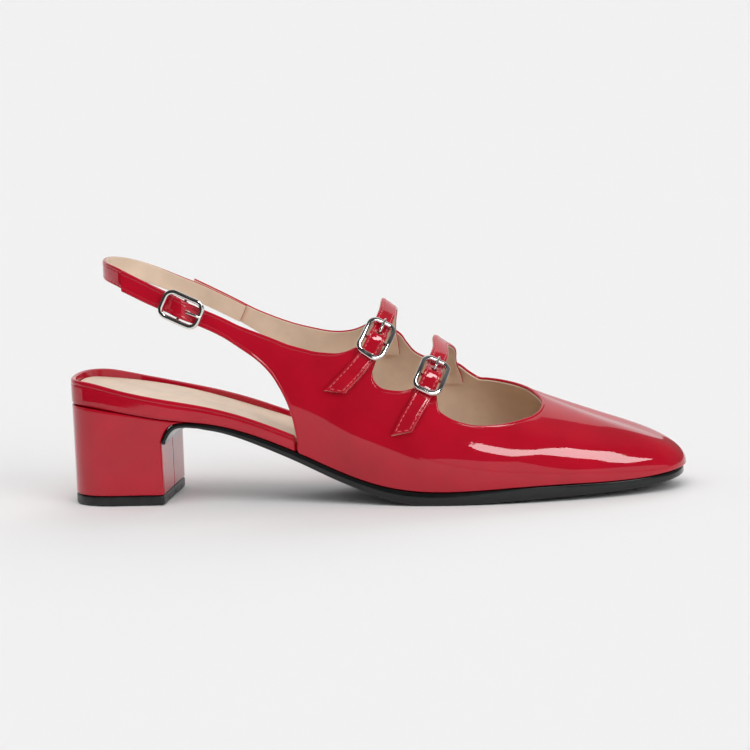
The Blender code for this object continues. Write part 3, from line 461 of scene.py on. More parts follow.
def piece(name, solids, material, record_slot, *nodes):
    """Object of one or more solids that rides on the shoe and stands for CAD nodes."""
    mesh = bpy.data.meshes.new(name)
    whole = bmesh.new()
    for solid in solids:
        solid.to_mesh(mesh)
        solid.free()
        whole.from_mesh(mesh)
    whole.to_mesh(mesh)
    whole.free()
    mesh.shade_smooth()
    mesh.set_sharp_from_angle(angle=SHARP_ANGLE)
    mesh.materials.append(material)
    made = placed(name, mesh)
    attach(made, "root")
    if nodes:
        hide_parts(*nodes)
    return made


# ---------------------------------------------------------------- finishes
def set_inputs(node, values):
    """Constants of a node's sockets."""
    for socket, value in values.items():
        node.inputs[socket].default_value = value


class Recipe:
    """Material made node by node round its Principled shader."""

    def __init__(self, name, colour, roughness, **sockets):
        self.material = bpy.data.materials.new(name)
        self.material.use_nodes = True
        self.nodes = self.material.node_tree.nodes
        self.links = self.material.node_tree.links
        self.shader = self.nodes["Principled BSDF"]
        self.colour = colour
        set_inputs(self.shader, {"Base Color": (*colour, 1.0), "Roughness": roughness})
        set_inputs(self.shader, {socket.replace("_", " ").title().replace("Ior", "IOR"): value
                                 for socket, value in sockets.items()})
        self.place = self.nodes.new("ShaderNodeTexCoord").outputs["Object"]
        self.relief = None

    def noise(self, scale, detail=2.0, roughness=0.5):
        """Noise over the object, its features about one over scale metres wide."""
        node = self.nodes.new("ShaderNodeTexNoise")
        set_inputs(node, {"Scale": scale, "Detail": detail, "Roughness": roughness})
        self.links.new(self.place, node.inputs["Vector"])
        return node.outputs["Fac"]

    def cells(self, scale):
        """Distance to the nearest of many scattered points, for pores."""
        node = self.nodes.new("ShaderNodeTexVoronoi")
        set_inputs(node, {"Scale": scale})
        self.links.new(self.place, node.inputs["Vector"])
        return node.outputs["Distance"]

    def tint(self, source, low, high, dark, light):
        """Base colour times a factor that runs from dark to light as source goes from low to high."""
        ramp = self.nodes.new("ShaderNodeValToRGB")
        for element, place, factor in zip(ramp.color_ramp.elements, (low, high), (dark, light)):
            element.position = place
            element.color = (*(min(1.0, channel * factor) for channel in self.colour), 1.0)
        self.links.new(source, ramp.inputs["Fac"])
        self.links.new(ramp.outputs["Color"], self.shader.inputs["Base Color"])

    def polish(self, source, low, high):
        """Roughness that varies between two values."""
        spread = self.nodes.new("ShaderNodeMapRange")
        set_inputs(spread, {"From Min": 0.3, "From Max": 0.7, "To Min": low, "To Max": high})
        self.links.new(source, spread.inputs["Value"])
        self.links.new(spread.outputs["Result"], self.shader.inputs["Roughness"])

    def emboss(self, source, depth, coat=False):
        """Bump of a depth in millimetres, laid over the earlier ones."""
        bump = self.nodes.new("ShaderNodeBump")
        set_inputs(bump, {"Strength": 1.0, "Distance": depth * MM})
        self.links.new(source, bump.inputs["Height"])
        if self.relief:
            self.links.new(self.relief, bump.inputs["Normal"])
        self.relief = bump.outputs["Normal"]
        self.links.new(self.relief, self.shader.inputs["Normal"])
        if coat:
            self.links.new(self.relief, self.shader.inputs["Coat Normal"])


FINISHES = {}


def finish(name):
    """The material with this name, made on first use."""
    if name not in FINISHES:
        FINISHES[name] = FINISH_MAKERS[name](bpy.context.scene.pump_finishes)
    return FINISHES[name]


def make_patent(looks):
    """Red patent leather: a tinted film with a clear, slightly wavy coat."""
    recipe = Recipe("patent_red", looks.patent_red, 0.4, specular_ior_level=0.0, coat_weight=1.0,
                    coat_roughness=looks.patent_haze, coat_ior=1.5)
    recipe.tint(recipe.noise(55.0, 3.0), 0.35, 0.65, 0.93, 1.06)
    recipe.emboss(recipe.noise(48.0, 1.0, 0.4), looks.patent_wave / MM, coat=True)
    recipe.emboss(recipe.noise(700.0, 2.0), 0.006, coat=True)
    return recipe.material


def make_strap_patent(looks):
    """The same patent, bent and handled more, on the narrow straps."""
    recipe = Recipe("strap_red", looks.patent_red, 0.4, specular_ior_level=0.0, coat_weight=1.0,
                    coat_roughness=looks.patent_haze, coat_ior=1.65)
    recipe.tint(recipe.noise(140.0, 3.0), 0.35, 0.65, 0.90, 1.10)
    recipe.emboss(recipe.noise(260.0, 2.0), 0.05, coat=True)
    recipe.emboss(recipe.noise(1100.0, 2.0), 0.008, coat=True)
    return recipe.material


def make_lining(looks):
    """Pale beige lining leather with pores and a soft grain."""
    recipe = Recipe("lining_beige", looks.lining_beige, 0.5, specular_ior_level=0.4, sheen_weight=0.08)
    recipe.tint(recipe.noise(90.0, 5.0), 0.3, 0.7, 0.90, 1.07)
    recipe.polish(recipe.noise(300.0), 0.42, 0.58)
    recipe.emboss(recipe.cells(1500.0), 0.03)
    recipe.emboss(recipe.noise(500.0, 4.0), 0.04)
    return recipe.material


def make_sole(looks):
    """Black sole, its trimmed edge waxed."""
    recipe = Recipe("sole_black", looks.sole_black, 0.24, specular_ior_level=0.35, coat_weight=0.2,
                    coat_roughness=0.12)
    recipe.tint(recipe.noise(200.0, 4.0), 0.3, 0.7, 0.8, 1.25)
    recipe.polish(recipe.noise(350.0, 3.0), 0.14, 0.24)
    recipe.emboss(recipe.noise(1400.0, 3.0), 0.005)
    return recipe.material


def make_top_piece(looks):
    """Black rubber of the heel's top piece, satin and finely pitted."""
    recipe = Recipe("top_piece_black", looks.sole_black, 0.4, specular_ior_level=0.45)
    recipe.tint(recipe.noise(240.0, 4.0), 0.3, 0.7, 0.8, 2.0)
    recipe.polish(recipe.noise(500.0, 3.0), 0.32, 0.5)
    recipe.emboss(recipe.cells(1800.0), 0.02)
    return recipe.material


def make_steel(looks):
    """Polished plated steel with hair-fine wear."""
    recipe = Recipe("buckle_steel", looks.buckle_steel, 0.1, metallic=1.0)
    recipe.tint(recipe.noise(160.0, 3.0), 0.3, 0.7, 0.93, 1.05)
    recipe.polish(recipe.noise(420.0, 5.0), 0.05, 0.15)
    recipe.emboss(recipe.noise(1600.0, 3.0), 0.003)
    return recipe.material


def make_thread(looks):
    """Waxed red thread, its colour made pinker than the thread's own red as a painted highlight of the
    glints along the seams.
    """
    recipe = Recipe("thread_red", looks.thread_red, 0.42, specular_ior_level=0.5, sheen_weight=0.2)
    recipe.tint(recipe.noise(900.0, 2.0), 0.3, 0.7, 0.85, 1.2)
    recipe.emboss(recipe.noise(2600.0, 2.0), 0.03)
    return recipe.material


def make_floor(looks):
    """Pale matt studio floor."""
    recipe = Recipe("studio_floor", looks.floor_pale, 0.6, specular_ior_level=0.0)
    recipe.tint(recipe.noise(1.2, 2.0), 0.2, 0.8, 0.995, 1.0)
    return recipe.material


FINISH_MAKERS = {
    "patent": make_patent, "strap": make_strap_patent, "lining": make_lining, "sole": make_sole,
    "top_piece": make_top_piece, "steel": make_steel, "thread": make_thread, "floor": make_floor}


# ---------------------------------------------------------------- upper
ROWS_PER_STRIP = 4
FACE_CELLS = 34               # cells across the middle of a strip
EDGE_ZONE = 2.1               # width of the finely divided zone along an edge
EDGE_STEPS = (0.62, 0.75, 0.9, 1.1, 1.3, 1.45, 1.6, 1.8)
RIM_ANGLES = (60, 30, 0, -30, -60)
FOLD_ROLL = (0.85, 0.42)      # distance of the roll's middle from the edge, and half its width
FOLD_CREASE = (1.6, 0.16)     # the same of the crease behind it
FREE_RISE = 0.03              # rise from which a lower edge is a free one
SLING_HOLE = (1.2, 3.5)       # the prong's hole, measured from the bar
SLING_HOLE_SHARE = 0.24       # half its width, as a share of the extension's
LAYER_GAP = 0.05              # between the patent and its lining
Spot = namedtuple("Spot", "share low top height low_bead top_bead")


def catmull(values, places):
    """Curve through rows of values at the whole numbers, with no overshoot to speak of."""
    values = np.asarray(values, float)
    last_row = len(values) - 1
    i = np.clip(np.floor(places).astype(int), 0, last_row - 1)
    t = (places - i)[:, None]
    a, b, c, d = (values[np.clip(i + step, 0, last_row)] for step in (-1, 0, 1, 2))
    square = 2 * a - 5 * b + 4 * c - d
    cube = 3 * b - a - 3 * c + d
    return 0.5 * (2 * b + (c - a) * t + square * t ** 2 + cube * t ** 3)


def bulge(distance):
    """Rise of a strap over a bar at a distance from it."""
    return BULGE * (0.5 + 0.5 * np.cos(pi * np.minimum(np.abs(distance) / BULGE_REACH, 1.0)))


def throat_strips():
    """Strips across the toe, whose tops are the throat's edge."""
    guess = OUTER_PATTERN[-1].top_rib, OUTER_PATTERN[-1].top_rise
    strips = []
    for rim in THROAT:
        guess = rib_below(rim.x, rim.y, *guess)
        strips.append(Strip(rim.low_rib, 0.0, *guess))
    return strips


def folded_edge(distance, height):
    """Relief along a folded edge: a low roll, and the crease where the fold ends."""
    roll, crease = (np.exp(-((distance - middle) / half) ** 2) for middle, half in (FOLD_ROLL, FOLD_CREASE))
    return float(height * roll - height * crease)


def wall_section(top, thick, tuck, roll):
    """Section of a sheet of leather between its lower and its top edge, outside and back inside.

    Top is the height of its outer face over the last, thick its thickness, tuck its distance from
    the pattern's edges, and roll the height of its folded edges.
    """
    half = thick / 2
    zone = [half] + [step for step in EDGE_STEPS if step > half] + [EDGE_ZONE]
    shares = np.linspace(0.0, 1.0, FACE_CELLS + 1)[1:-1]
    reach = tuck + EDGE_ZONE
    low_side = [Spot(0, tuck + x, 0, top, folded_edge(x, roll), 0) for x in zone]
    face = [Spot(s, reach * (1 - s), -reach * s, top, 0, 0) for s in shares]
    top_side = [Spot(1, 0, -tuck - x, top, 0, folded_edge(x, roll)) for x in reversed(zone)]
    front = low_side + face + top_side
    back = [spot._replace(height=top - thick, low_bead=0, top_bead=0) for spot in reversed(front)]
    turns = [radians(angle) for angle in RIM_ANGLES]
    top_rim = [Spot(1, 0, -tuck - half * (1 - cos(a)), top - half + half * sin(a), 0, 0) for a in turns]
    low_rim = [Spot(0, tuck + half * (1 - cos(a)), 0, top - half + half * sin(a), 0, 0)
               for a in reversed(turns)]
    return front + top_rim + back + low_rim


def ripple(point, rise):
    """Faint unevenness of the stretched leather, which dies out at the feather line."""
    x, y, z = point[..., 0], point[..., 1], point[..., 2]
    wave = np.sin(x / 9.5 + y / 14.0) * np.sin(z / 6.5 + 0.6) + 0.7 * np.sin(x / 5.6 - z / 8.0 + 1.3)
    return bpy.context.scene.pump_sizes.ripple / MM * wave * ease(rise / 0.12)


def cells_between(places, low, high):
    """Numbers of the cells that start between two places."""
    return [i for i, place in enumerate(places[:-1]) if low < place < high]


def upper_wall(section):
    """Sheet over the whole pattern of the upper, from the outer extension to the inner one."""
    strips = OUTER_PATTERN + throat_strips() + INNER_PATTERN
    places = np.linspace(0, len(strips) - 1, (len(strips) - 1) * ROWS_PER_STRIP + 1)
    low_rib, low_rise, top_rib, top_rise = catmull(strips, places).T

    def along(share):
        rise = low_rise + (top_rise - low_rise) * share
        return low_rib + (top_rib - low_rib) * share, np.maximum(rise, 0.0)

    def speed(share, step):
        return np.linalg.norm(last(*along(share + step)) - last(*along(share)), axis=-1) / abs(step)

    low_speed = speed(0.0, 0.01)
    top_speed = speed(1.0, -0.01)
    free = ease(low_rise / FREE_RISE)
    away = (low_rib - SLING_BAR_RIB) * SLING_PITCH
    columns = []
    for spot in section:
        share = spot.share + spot.low / low_speed + spot.top / top_speed
        rib, rise = along(share)
        point = last(rib, rise)
        height = spot.height + spot.low_bead * free + spot.top_bead + bulge(away) + ripple(point, rise)
        columns.append(point + last_normal(rib, rise) * height[:, None])
    return np.stack(columns, axis=1), cells_between(away, *SLING_HOLE)


def make_upper():
    """Patent skin of vamp, quarters and extensions, and its lining."""
    sizes = bpy.context.scene.pump_sizes
    skin = sizes.skin / MM
    layers = (("upper", 0.0, skin, 0.0, sizes.edge_roll / MM, "patent", "upper_patent"),
              ("upper_lining", -skin - LAYER_GAP, UPPER_WALL - skin - LAYER_GAP, sizes.lining_tuck / MM,
               0.0, "lining", "sock_leather"))
    for name, top, thick, tuck, roll, look, record_slot in layers:
        section = wall_section(top, thick, tuck, roll)
        grid, hole_rows = upper_wall(section)
        middle = [i for i, spot in enumerate(section) if abs(spot.share - 0.5) < SLING_HOLE_SHARE]
        front = [i for i in middle if section[i].height == top]
        back = [i for i in middle if section[i].height < top]
        window = (hole_rows, front[:-1], back[:-1])
        piece(name, [laid(grid, closed=True, windows=[window])], finish(look), record_slot, "upper")


# ---------------------------------------------------------------- straps
class Path:
    """Line near the last with its direction, outward normal and width direction."""

    def __init__(self, points, normals):
        points = np.asarray(points, float)
        self.places = run_along(points)
        self.line = spline(self.places, points)
        self.normal = spline(self.places, normals)

    def at(self, place, aside, height):
        """Points at places along the path, aside along its width and at a height over it."""
        place, aside, height = np.broadcast_arrays(place, aside, height)
        along = unit(self.line(place + 0.05) - self.line(place - 0.05))
        out = self.normal(place)
        out = unit(out - along * np.sum(out * along, axis=-1, keepdims=True))
        return self.line(place) + np.cross(along, out) * aside[..., None] + out * height[..., None]


def route_point(hold):
    """Rib and rise of a hold, whichever side of the crest it is on."""
    if hold.across <= 1:
        return -hold.rib, hold.across
    return hold.rib, 2 - hold.across


def last_path(pairs):
    """Path through places of the last."""
    ribs, rises = zip(*pairs)
    return Path(last(ribs, rises), last_normal(ribs, rises))


def instep_route(label):
    """Path of an instep strap, the height of its outer face along it, and the place of its bar."""
    route = STRAP_ROUTES[label]
    path = last_path([route_point(hold) for hold in route])
    return path, spline(path.places, [hold.face for hold in route]), path.places[BAR_HOLD]


def sling_route():
    """Path of the strap round the heel, from inside the outer extension to inside the inner one."""
    def under(pairs):
        return [last(*pair) - last_normal(*pair) * SLING_SINK for pair in pairs]
    bend = [np.array(point) for point in SLING_BEND]
    around = [unit(np.array([point.x - SLING_CENTRE, point.y, 0.0])) for point in SLING_BEND]
    return Path(under(SLING_OUTER_LAP) + bend + under(SLING_INNER_LAP),
                [last_normal(*pair) for pair in SLING_OUTER_LAP] + around
                + [last_normal(*pair) for pair in SLING_INNER_LAP])


STRAP_STEP = 0.55             # distance between rows along a strap
STRAP_END = (0.0, 0.04, 0.12, 0.25, 0.4, 0.6, 0.8)      # first rows of a rounded end
STRAP_FACE = 41               # points across a strap's outer face
STRAP_BACK = 13               # and across its underside
STRAP_HOLE_CELLS = (range(13, 27), range(50, 54))       # cells of the prong's hole in both
STITCH_INSET = 1.15           # distance of the seam from a strap's edges
STITCH_SPACE = 0.12           # part of a stitch's pitch that is bare at either end
STITCH_RISE = 0.05            # of a stitch's middle over the groove
# Half a stitch's length as a share of its span, and half its width and height as shares of the thread.
STITCH_SHAPE = (0.46, 0.5, 0.42)
SEAM_STEP = 0.5               # distance between the points that a seam is laid through
SEAM_END = 1.0                # bare length at the square end of a strap
SEAM_DEPTH = 0.13
SEAM_HALF = 0.2               # half the width of the seam's groove
CROWN = 0.16                  # rise of a strap's middle over its edges
LINING_SHARE = 0.32           # part of a strap's thickness that is lining
LINING_INSET = 0.12           # of its edge behind the patent's


def crown(asides, half):
    """Rise of a strap's outer face over its edges."""
    return CROWN * (1 - (asides / half) ** 2)


def band_section(half, thick, face_points, back_points):
    """Round-edged section of a band, as distances from its middle line and heights over its face."""
    turn = thick / 2
    wide = half - turn
    turns = np.radians(RIM_ANGLES)
    asides = np.concatenate([np.linspace(-wide, wide, face_points), wide + turn * np.cos(turns),
                             np.linspace(wide, -wide, back_points), -wide - turn * np.cos(turns[::-1])])
    levels = np.concatenate([np.zeros(face_points), turn * np.sin(turns) - turn,
                             np.full(back_points, -thick), turn * np.sin(turns[::-1]) - turn])
    return asides, levels


def strap_layer(path, places, half, top, thick, patent, slant):
    """Rows of one layer of a strap; a patent one has a crown and a sunk seam.

    Top is the height of its outer face at each row. Slant is how far one corner of its tail runs
    ahead of the middle, and none leaves the strap's end square.
    """
    turn = thick / 2
    asides, level = band_section(half, thick, STRAP_FACE, STRAP_BACK)
    end = np.full((len(places), 1), np.inf) if slant is None else places[:, None] - path.places[0]
    relief = 0.0
    if patent:
        from_edge = np.minimum(half - np.abs(asides), end)
        groove = SEAM_DEPTH * np.exp(-((from_edge - STITCH_INSET) / SEAM_HALF) ** 2)
        relief = np.where(level == 0.0, crown(asides, half) - groove, 0.0)
    rounding = np.sqrt(1 - (1 - np.clip(end / turn, 0.0, 1.0)) ** 2)
    height = (level + relief + turn) * np.maximum(rounding, 0.05) - turn
    return path.at(places[:, None] + tail_shift(end, asides, half, slant), asides, top[:, None] + height)


def tail_shift(end, asides, half, slant):
    """Shift along a strap that slants its tail, at distances from its end and from its middle line."""
    if slant is None:
        return np.zeros(np.broadcast(end, asides).shape)
    return slant * np.maximum(0.0, 1 - end / TAIL_LENGTH) * asides / half


def strap_rows(path, ends):
    """Places of the rows along a strap, after those of its first end."""
    first, last_place = path.places[0], path.places[-1]
    rows = np.arange(first + 1.0, last_place, STRAP_STEP)
    return np.concatenate([first + np.array(ends), rows, [last_place]])


def stitch_row(bm, spots, size):
    """One stitch between each pair of spots, sunk at its ends."""
    for tail, head, out in spots:
        middle = (tail + head) / 2
        along = (head - tail).normalized()
        across = out.cross(along).normalized()
        turn = Matrix((along, across, along.cross(across))).transposed().to_4x4()
        length, width, height = STITCH_SHAPE
        scale = Matrix.Diagonal(((head - tail).length * length, size * width, size * height, 1.0))
        bmesh.ops.create_uvsphere(bm, u_segments=6, v_segments=4, radius=1.0,
                                  matrix=Matrix.Translation(middle) @ turn @ scale)


def seam_spots(points, outs, pitch):
    """Ends and outward direction of the stitches along a line, in the frame's metres."""
    run = run_along(points)
    count = int(run[-1] / pitch)
    knots = np.linspace(0.0, run[-1], count + 1)
    where = np.stack([np.interp(knots, run, points[:, k]) for k in range(3)], -1)
    way = np.stack([np.interp(knots, run, outs[:, k]) for k in range(3)], -1)
    laid_out = [((HOME + Vector(p)) * MM, Vector(unit(o))) for p, o in zip(where, way)]
    return [(tail.lerp(head, STITCH_SPACE), head.lerp(tail, STITCH_SPACE), out)
            for (tail, out), (head, _) in zip(laid_out, laid_out[1:])]


def strap_seam(path, rows, half, height_at, slant):
    """Stitches along both edges of a strap and across its tail."""
    sizes = bpy.context.scene.pump_sizes
    seam = bmesh.new()
    edge = half - STITCH_INSET
    first = rows[0]
    start = first + (SEAM_END if slant is None else STITCH_INSET)
    run = np.arange(start, rows[-1] - SEAM_END, SEAM_STEP)
    lines = [(run, np.full(len(run), aside)) for aside in (-edge, edge)]
    if slant is not None:
        tail = np.linspace(-edge, edge, 9)
        lines.append((np.full(len(tail), start), tail))
    for places, asides in lines:
        places = places + tail_shift(places - first, asides, half, slant)
        height = height_at(places) + crown(asides, half) - SEAM_DEPTH + STITCH_RISE
        points = path.at(places, asides, height)
        outs = path.at(places, asides, height + 1.0) - points
        stitch_row(seam, seam_spots(points, outs, sizes.stitch_pitch / MM), sizes.thread)
    return seam


def make_strap(names, path, rows, half, height_at, slant=None, windows=()):
    """Skin, lining and seam of a strap; skin and lining stand for the CAD node that has the skin's name."""
    lining = STRAP_THICK * LINING_SHARE
    skin = STRAP_THICK - lining
    top = height_at(rows)
    for name, depth, thick, inset, look, record_slot in (
            (names[0], 0.0, skin, 0.0, "strap", "strap_patent"),
            (names[1], -skin, lining, LINING_INSET, "lining", "sock_leather")):
        grid = strap_layer(path, rows, half - inset, depth + top, thick, look == "strap", slant)
        piece(name, [laid(grid, closed=True, windows=windows)], finish(look), record_slot, names[0])
    piece(names[2], [strap_seam(path, rows, half, height_at, slant)], finish("thread"), "strap_patent")


def make_instep_straps():
    """Two straps from their slanted tails over the instep, each with its lining and seam."""
    for label in STRAP_ROUTES:
        path, face, bar = instep_route(label)
        rows = strap_rows(path, STRAP_END)
        names = [part + label for part in ("instep_strap_", "instep_strap_lining_", "instep_seam_")]
        window = (cells_between(rows - bar, *STRAP_HOLE), *STRAP_HOLE_CELLS)
        make_strap(names, path, rows, STRAP_WIDTH / 2, lambda place: face(place) + bulge(place - bar),
                   TAIL_SLANT, [window])


def make_sling():
    """Strap round the heel, with its lining and seams."""
    path = sling_route()
    make_strap(("sling_strap", "sling_strap_lining", "sling_seam"), path, strap_rows(path, (0.0,)),
               SLING_WIDTH / 2, lambda place: np.zeros(len(place)))


# ---------------------------------------------------------------- buckles
RING = np.linspace(0.0, 2 * pi, 15)[:-1]
FRAME_SQUARENESS = 2.7        # exponent of the superellipse of the frame's section
BAR_BENDS = [(0.7, 0.75), (1.5, 0.08), (2.6, 0.0)]      # the bar near the frame: inset and rise
CHAPE_FACE = 17               # points across a chape
CHAPE_SLOT_CELLS = (range(5, 11), range(27, 33))        # cells of the prong's slot in its faces


def sweep(path, bar, line, side, wide, thick, squareness=2.0, looped=False, round_ends=0.0):
    """Rod along a flat line of (along, aside, height) round a bar; side is square to the line's plane.

    Wide and thick are half the rod's size in the line's plane and across it, and round_ends is the
    length over which its ends are rounded off.
    """
    line = np.asarray(line, float)
    side = np.asarray(side, float)
    if looped:
        way = np.roll(line, -1, 0) - np.roll(line, 1, 0)
    else:
        way = np.gradient(line, axis=0)
    out = np.cross(unit(way), side)
    power = 2.0 / squareness
    across = np.sign(np.cos(RING)) * np.abs(np.cos(RING)) ** power
    over = np.sign(np.sin(RING)) * np.abs(np.sin(RING)) ** power
    size = np.ones(len(line))
    if round_ends:
        run = run_along(line)
        nearest = np.minimum(run, run[-1] - run)
        size = np.sqrt(1 - (1 - np.clip(nearest / round_ends, 0.0, 1.0)) ** 2)
        size = np.maximum(size, 0.12)
    size = size[:, None, None]
    rod = (line[:, None, :] + out[:, None, :] * (across * wide)[:, None] * size
           + side * (over * thick)[:, None] * size)
    return laid(path.at(bar + rod[..., 0], rod[..., 1], rod[..., 2]), closed=True, looped=looped)


def smooth_line(points, count):
    """Even points on a smooth curve through a few."""
    points = np.asarray(points, float)
    run = run_along(points)
    return spline(run, points)(np.linspace(0.0, run[-1], count))


def rounded_frame(height):
    """Centreline of a buckle frame: along, aside, height."""
    straight_length = FRAME_LENGTH / 2 - WIRE - CORNER
    straight_width = FRAME_WIDTH / 2 - WIRE - CORNER

    def bend(corner, angle):
        x, y = ((1, 1), (-1, 1), (-1, -1), (1, -1))[corner % 4]
        return np.array([x * straight_length + CORNER * cos(angle),
                         y * straight_width + CORNER * sin(angle), height])

    loop = []
    for corner in range(4):
        loop += [bend(corner, pi / 2 * (corner + step / 8)) for step in range(9)]
        start, end = loop[-1], bend(corner + 1, pi / 2 * (corner + 1))
        loop += [start + (end - start) * share for share in (0.2, 0.4, 0.6, 0.8)]
    return loop


def buckle(label, path, bar, seat, thick, carrier_face):
    """Frame with its bar, prong and chape, on the strap that passes over the bar."""
    ring = BAR + PLAY + CHAPE_THICK
    bar_height = seat - thick + BULGE - BAR_DROP - ring
    frame_height = seat + WIRE + LIFT_OFF
    frame_rod = sweep(path, bar, rounded_frame(frame_height), (0, 0, 1), WIRE, WIRE * 0.92,
                      FRAME_SQUARENESS, looped=True)
    side = FRAME_WIDTH / 2 - WIRE
    right = [(side, frame_height)] + [(side - inset, bar_height + rise) for inset, rise in BAR_BENDS]
    cross = [(0, -aside, height) for aside, height in right] + [(0, 0, bar_height)]
    cross += [(0, aside, height) for aside, height in reversed(right)]
    bar_rod = sweep(path, bar, smooth_line(cross, 41), (1, 0, 0), BAR, BAR)
    piece("buckle_frame_" + label, [frame_rod, bar_rod], finish("steel"), "buckle_steel",
          "buckle_frame_" + label)

    hook = BAR + PLAY + PRONG
    tip = seat + 2 * WIRE + LIFT_OFF + PLAY + PRONG
    line = [(hook * cos(a), 0, bar_height + hook * sin(a)) for a in np.linspace(-0.8 * pi, 0.0, 8)]
    line += [(hook + 0.45, 0, bar_height + 1.2), (2.55, 0, seat + 1.9), (3.2, 0, tip - 0.35), (4.4, 0, tip),
             (FRAME_LENGTH / 2 - WIRE, 0, tip), (FRAME_LENGTH / 2 + 0.1, 0, tip - 0.25)]
    prong = sweep(path, bar, smooth_line(line, 60), (0, 1, 0), PRONG * 0.9, PRONG, round_ends=0.6)
    piece("prong_" + label, [prong], finish("steel"), "buckle_steel", "prong_" + label)

    leg = carrier_face - LEG_GAP - CHAPE_THICK
    wrap = [(ring * cos(a), 0, bar_height + ring * sin(a)) for a in np.linspace(0.95 * pi, -0.62 * pi, 25)]
    rest = [(-2.2, 0, (bar_height - ring + leg) / 2), (-3.2, 0, leg - 0.1), (-6.0, 0, leg), (-9.5, 0, leg)]
    line = np.array(wrap + rest)
    way = unit(np.gradient(line, axis=0))
    inward = np.stack([way[:, 2], np.zeros(len(way)), -way[:, 0]], -1)
    asides, levels = band_section(CHAPE_WIDTH / 2, CHAPE_THICK, CHAPE_FACE, CHAPE_FACE)
    solid = line[:, None, :] - inward[:, None, :] * levels[:, None]
    grid = path.at(bar + solid[..., 0], -asides, solid[..., 2])
    window = (range(1, len(wrap) + 1), *CHAPE_SLOT_CELLS)
    piece("chape_" + label, [laid(grid, closed=True, windows=[window])], finish("strap"), "chape_patent",
          "chape_" + label)


def make_buckles():
    """Buckles of the two instep straps and of the sling."""
    for label in STRAP_ROUTES:
        path, _, bar = instep_route(label)
        buckle(label, path, bar, STRAP_SEAT, STRAP_THICK, -UPPER_WALL)
    middle = last_path(SLING_MIDDLE)
    buckle("sling", middle, middle.places[SLING_BAR_ROW], 0.0, UPPER_WALL, -SLING_SINK - STRAP_THICK)


# ---------------------------------------------------------------- insole
RIB_STEP = 0.07
TUCK_RIBS = np.linspace(-0.03, 0.03, 7)     # extra ribs where the board's edge steps in
INWARD_SHARES = (1.0, 0.66, 0.33)           # of the way from the edge to the middle line
RAND_FULL = 8.0               # height of the board's edge at which its drops are in full
BED_STEP = 0.3                # least height of the rolled rim over the bed
BED_INSETS = (2.3, 3.4)
SOCK_WIDENS = (1.0, 14.0)     # where ahead of the tuck, and over what length
# Edge of the board from its foot to the bed: inset, share of its height, drop below that.
RAND_EDGE = [
    (0.9, 0.0, 0.0), (0.45, 0.0, -0.08), (0.12, 0.0, -0.35), (0.0, 0.0, -0.9), (0.0, 0.30, 0.0),
    (0.0, 0.50, 0.0), (0.0, 1.0, 3.0), (0.0, 1.0, 2.45), (0.10, 1.0, 2.25), (0.26, 1.0, 2.1),
    (0.26, 1.0, 1.98), (0.08, 1.0, 1.84), (0.0, 1.0, 1.6), (0.0, 1.0, 1.2), (0.02, 1.0, 0.85),
    (0.12, 1.0, 0.5), (0.32, 1.0, 0.22), (0.62, 1.0, 0.05), (0.95, 1.0, 0.0), (1.3, 1.0, 0.06),
    (1.65, 1.0, 0.24), (2.0, 1.0, 0.42)]
# Edge of the sock from its foot to its top: inset, share of its thickness below the top.
SOCK_EDGE = [(0.12, 1.0), (0.0, 0.85), (0.0, 0.5), (0.06, 0.3), (0.22, 0.12), (0.5, 0.02), (0.9, 0.0)]


def pad(profile_of):
    """Flat solid with the outline of the feather line.

    Profile_of gives, for ribs and the x of their feather points, the rows of inset and height from
    the solid's foot round its edge to its top. Both faces run level with the ends of that profile.
    """
    half_ribs = np.linspace(0.0, HEEL_STATION, int(HEEL_STATION / RIB_STEP))
    tuck = rib_at(TUCK_FROM)
    half_ribs = np.unique(np.concatenate([half_ribs, tuck + TUCK_RIBS]))
    ribs = np.concatenate([-half_ribs[::-1], half_ribs[1:-1]])
    x = feather(ribs)[..., 0]
    profile = profile_of(x)
    edge = [np.column_stack([plan(ribs, inset), height]) for inset, height in profile]
    across = -np.arange(len(ribs))
    low_middle = (edge[0] + edge[0][across]) / 2
    top_middle = (edge[-1] + edge[-1][across]) / 2
    under = [edge[0] + (low_middle - edge[0]) * share for share in INWARD_SHARES]
    over = [edge[-1] + (top_middle - edge[-1]) * share for share in INWARD_SHARES[::-1]]
    return laid(np.stack(under + edge + over, axis=1), looped=True)


def board_profile(x):
    """Wrapped edge of the board with its rolled rim and the groove under it."""
    base = board_inset(x)
    inside = tucked(x)
    bed = footbed_z(x) - SOCK_THICK - GAP
    low = feather_z(x) + GAP * inside
    high = (low + rand_height(np.minimum(x, RAND_HEIGHT[-1].x))) * (1 - inside) + bed * inside
    scale = np.minimum(1.0, (high - low) / RAND_FULL)
    rows = [(base + inset, low + share * (high - low) - drop * scale) for inset, share, drop in RAND_EDGE]
    return rows + [(base + inset, np.minimum(bed, high - BED_STEP)) for inset in BED_INSETS]


def sock_profile(x):
    """Soft edge of the sock, which runs out to the lining of the upper where that stands round it."""
    ahead, length = SOCK_WIDENS
    inside = ease((x - TUCK_FROM - ahead) / length)
    base = board_inset(x) + SOCK_MARGIN * (1 - inside)
    top = footbed_z(x)
    return [(base + inset, top - SOCK_THICK * drop) for inset, drop in SOCK_EDGE]


def make_insole():
    """Wrapped insole board and the sock on it."""
    piece("insole_board", [pad(board_profile)], finish("patent"), "rand_patent", "insole_board")
    piece("insole_sock", [pad(sock_profile)], finish("lining"), "sock_leather", "insole_sock")


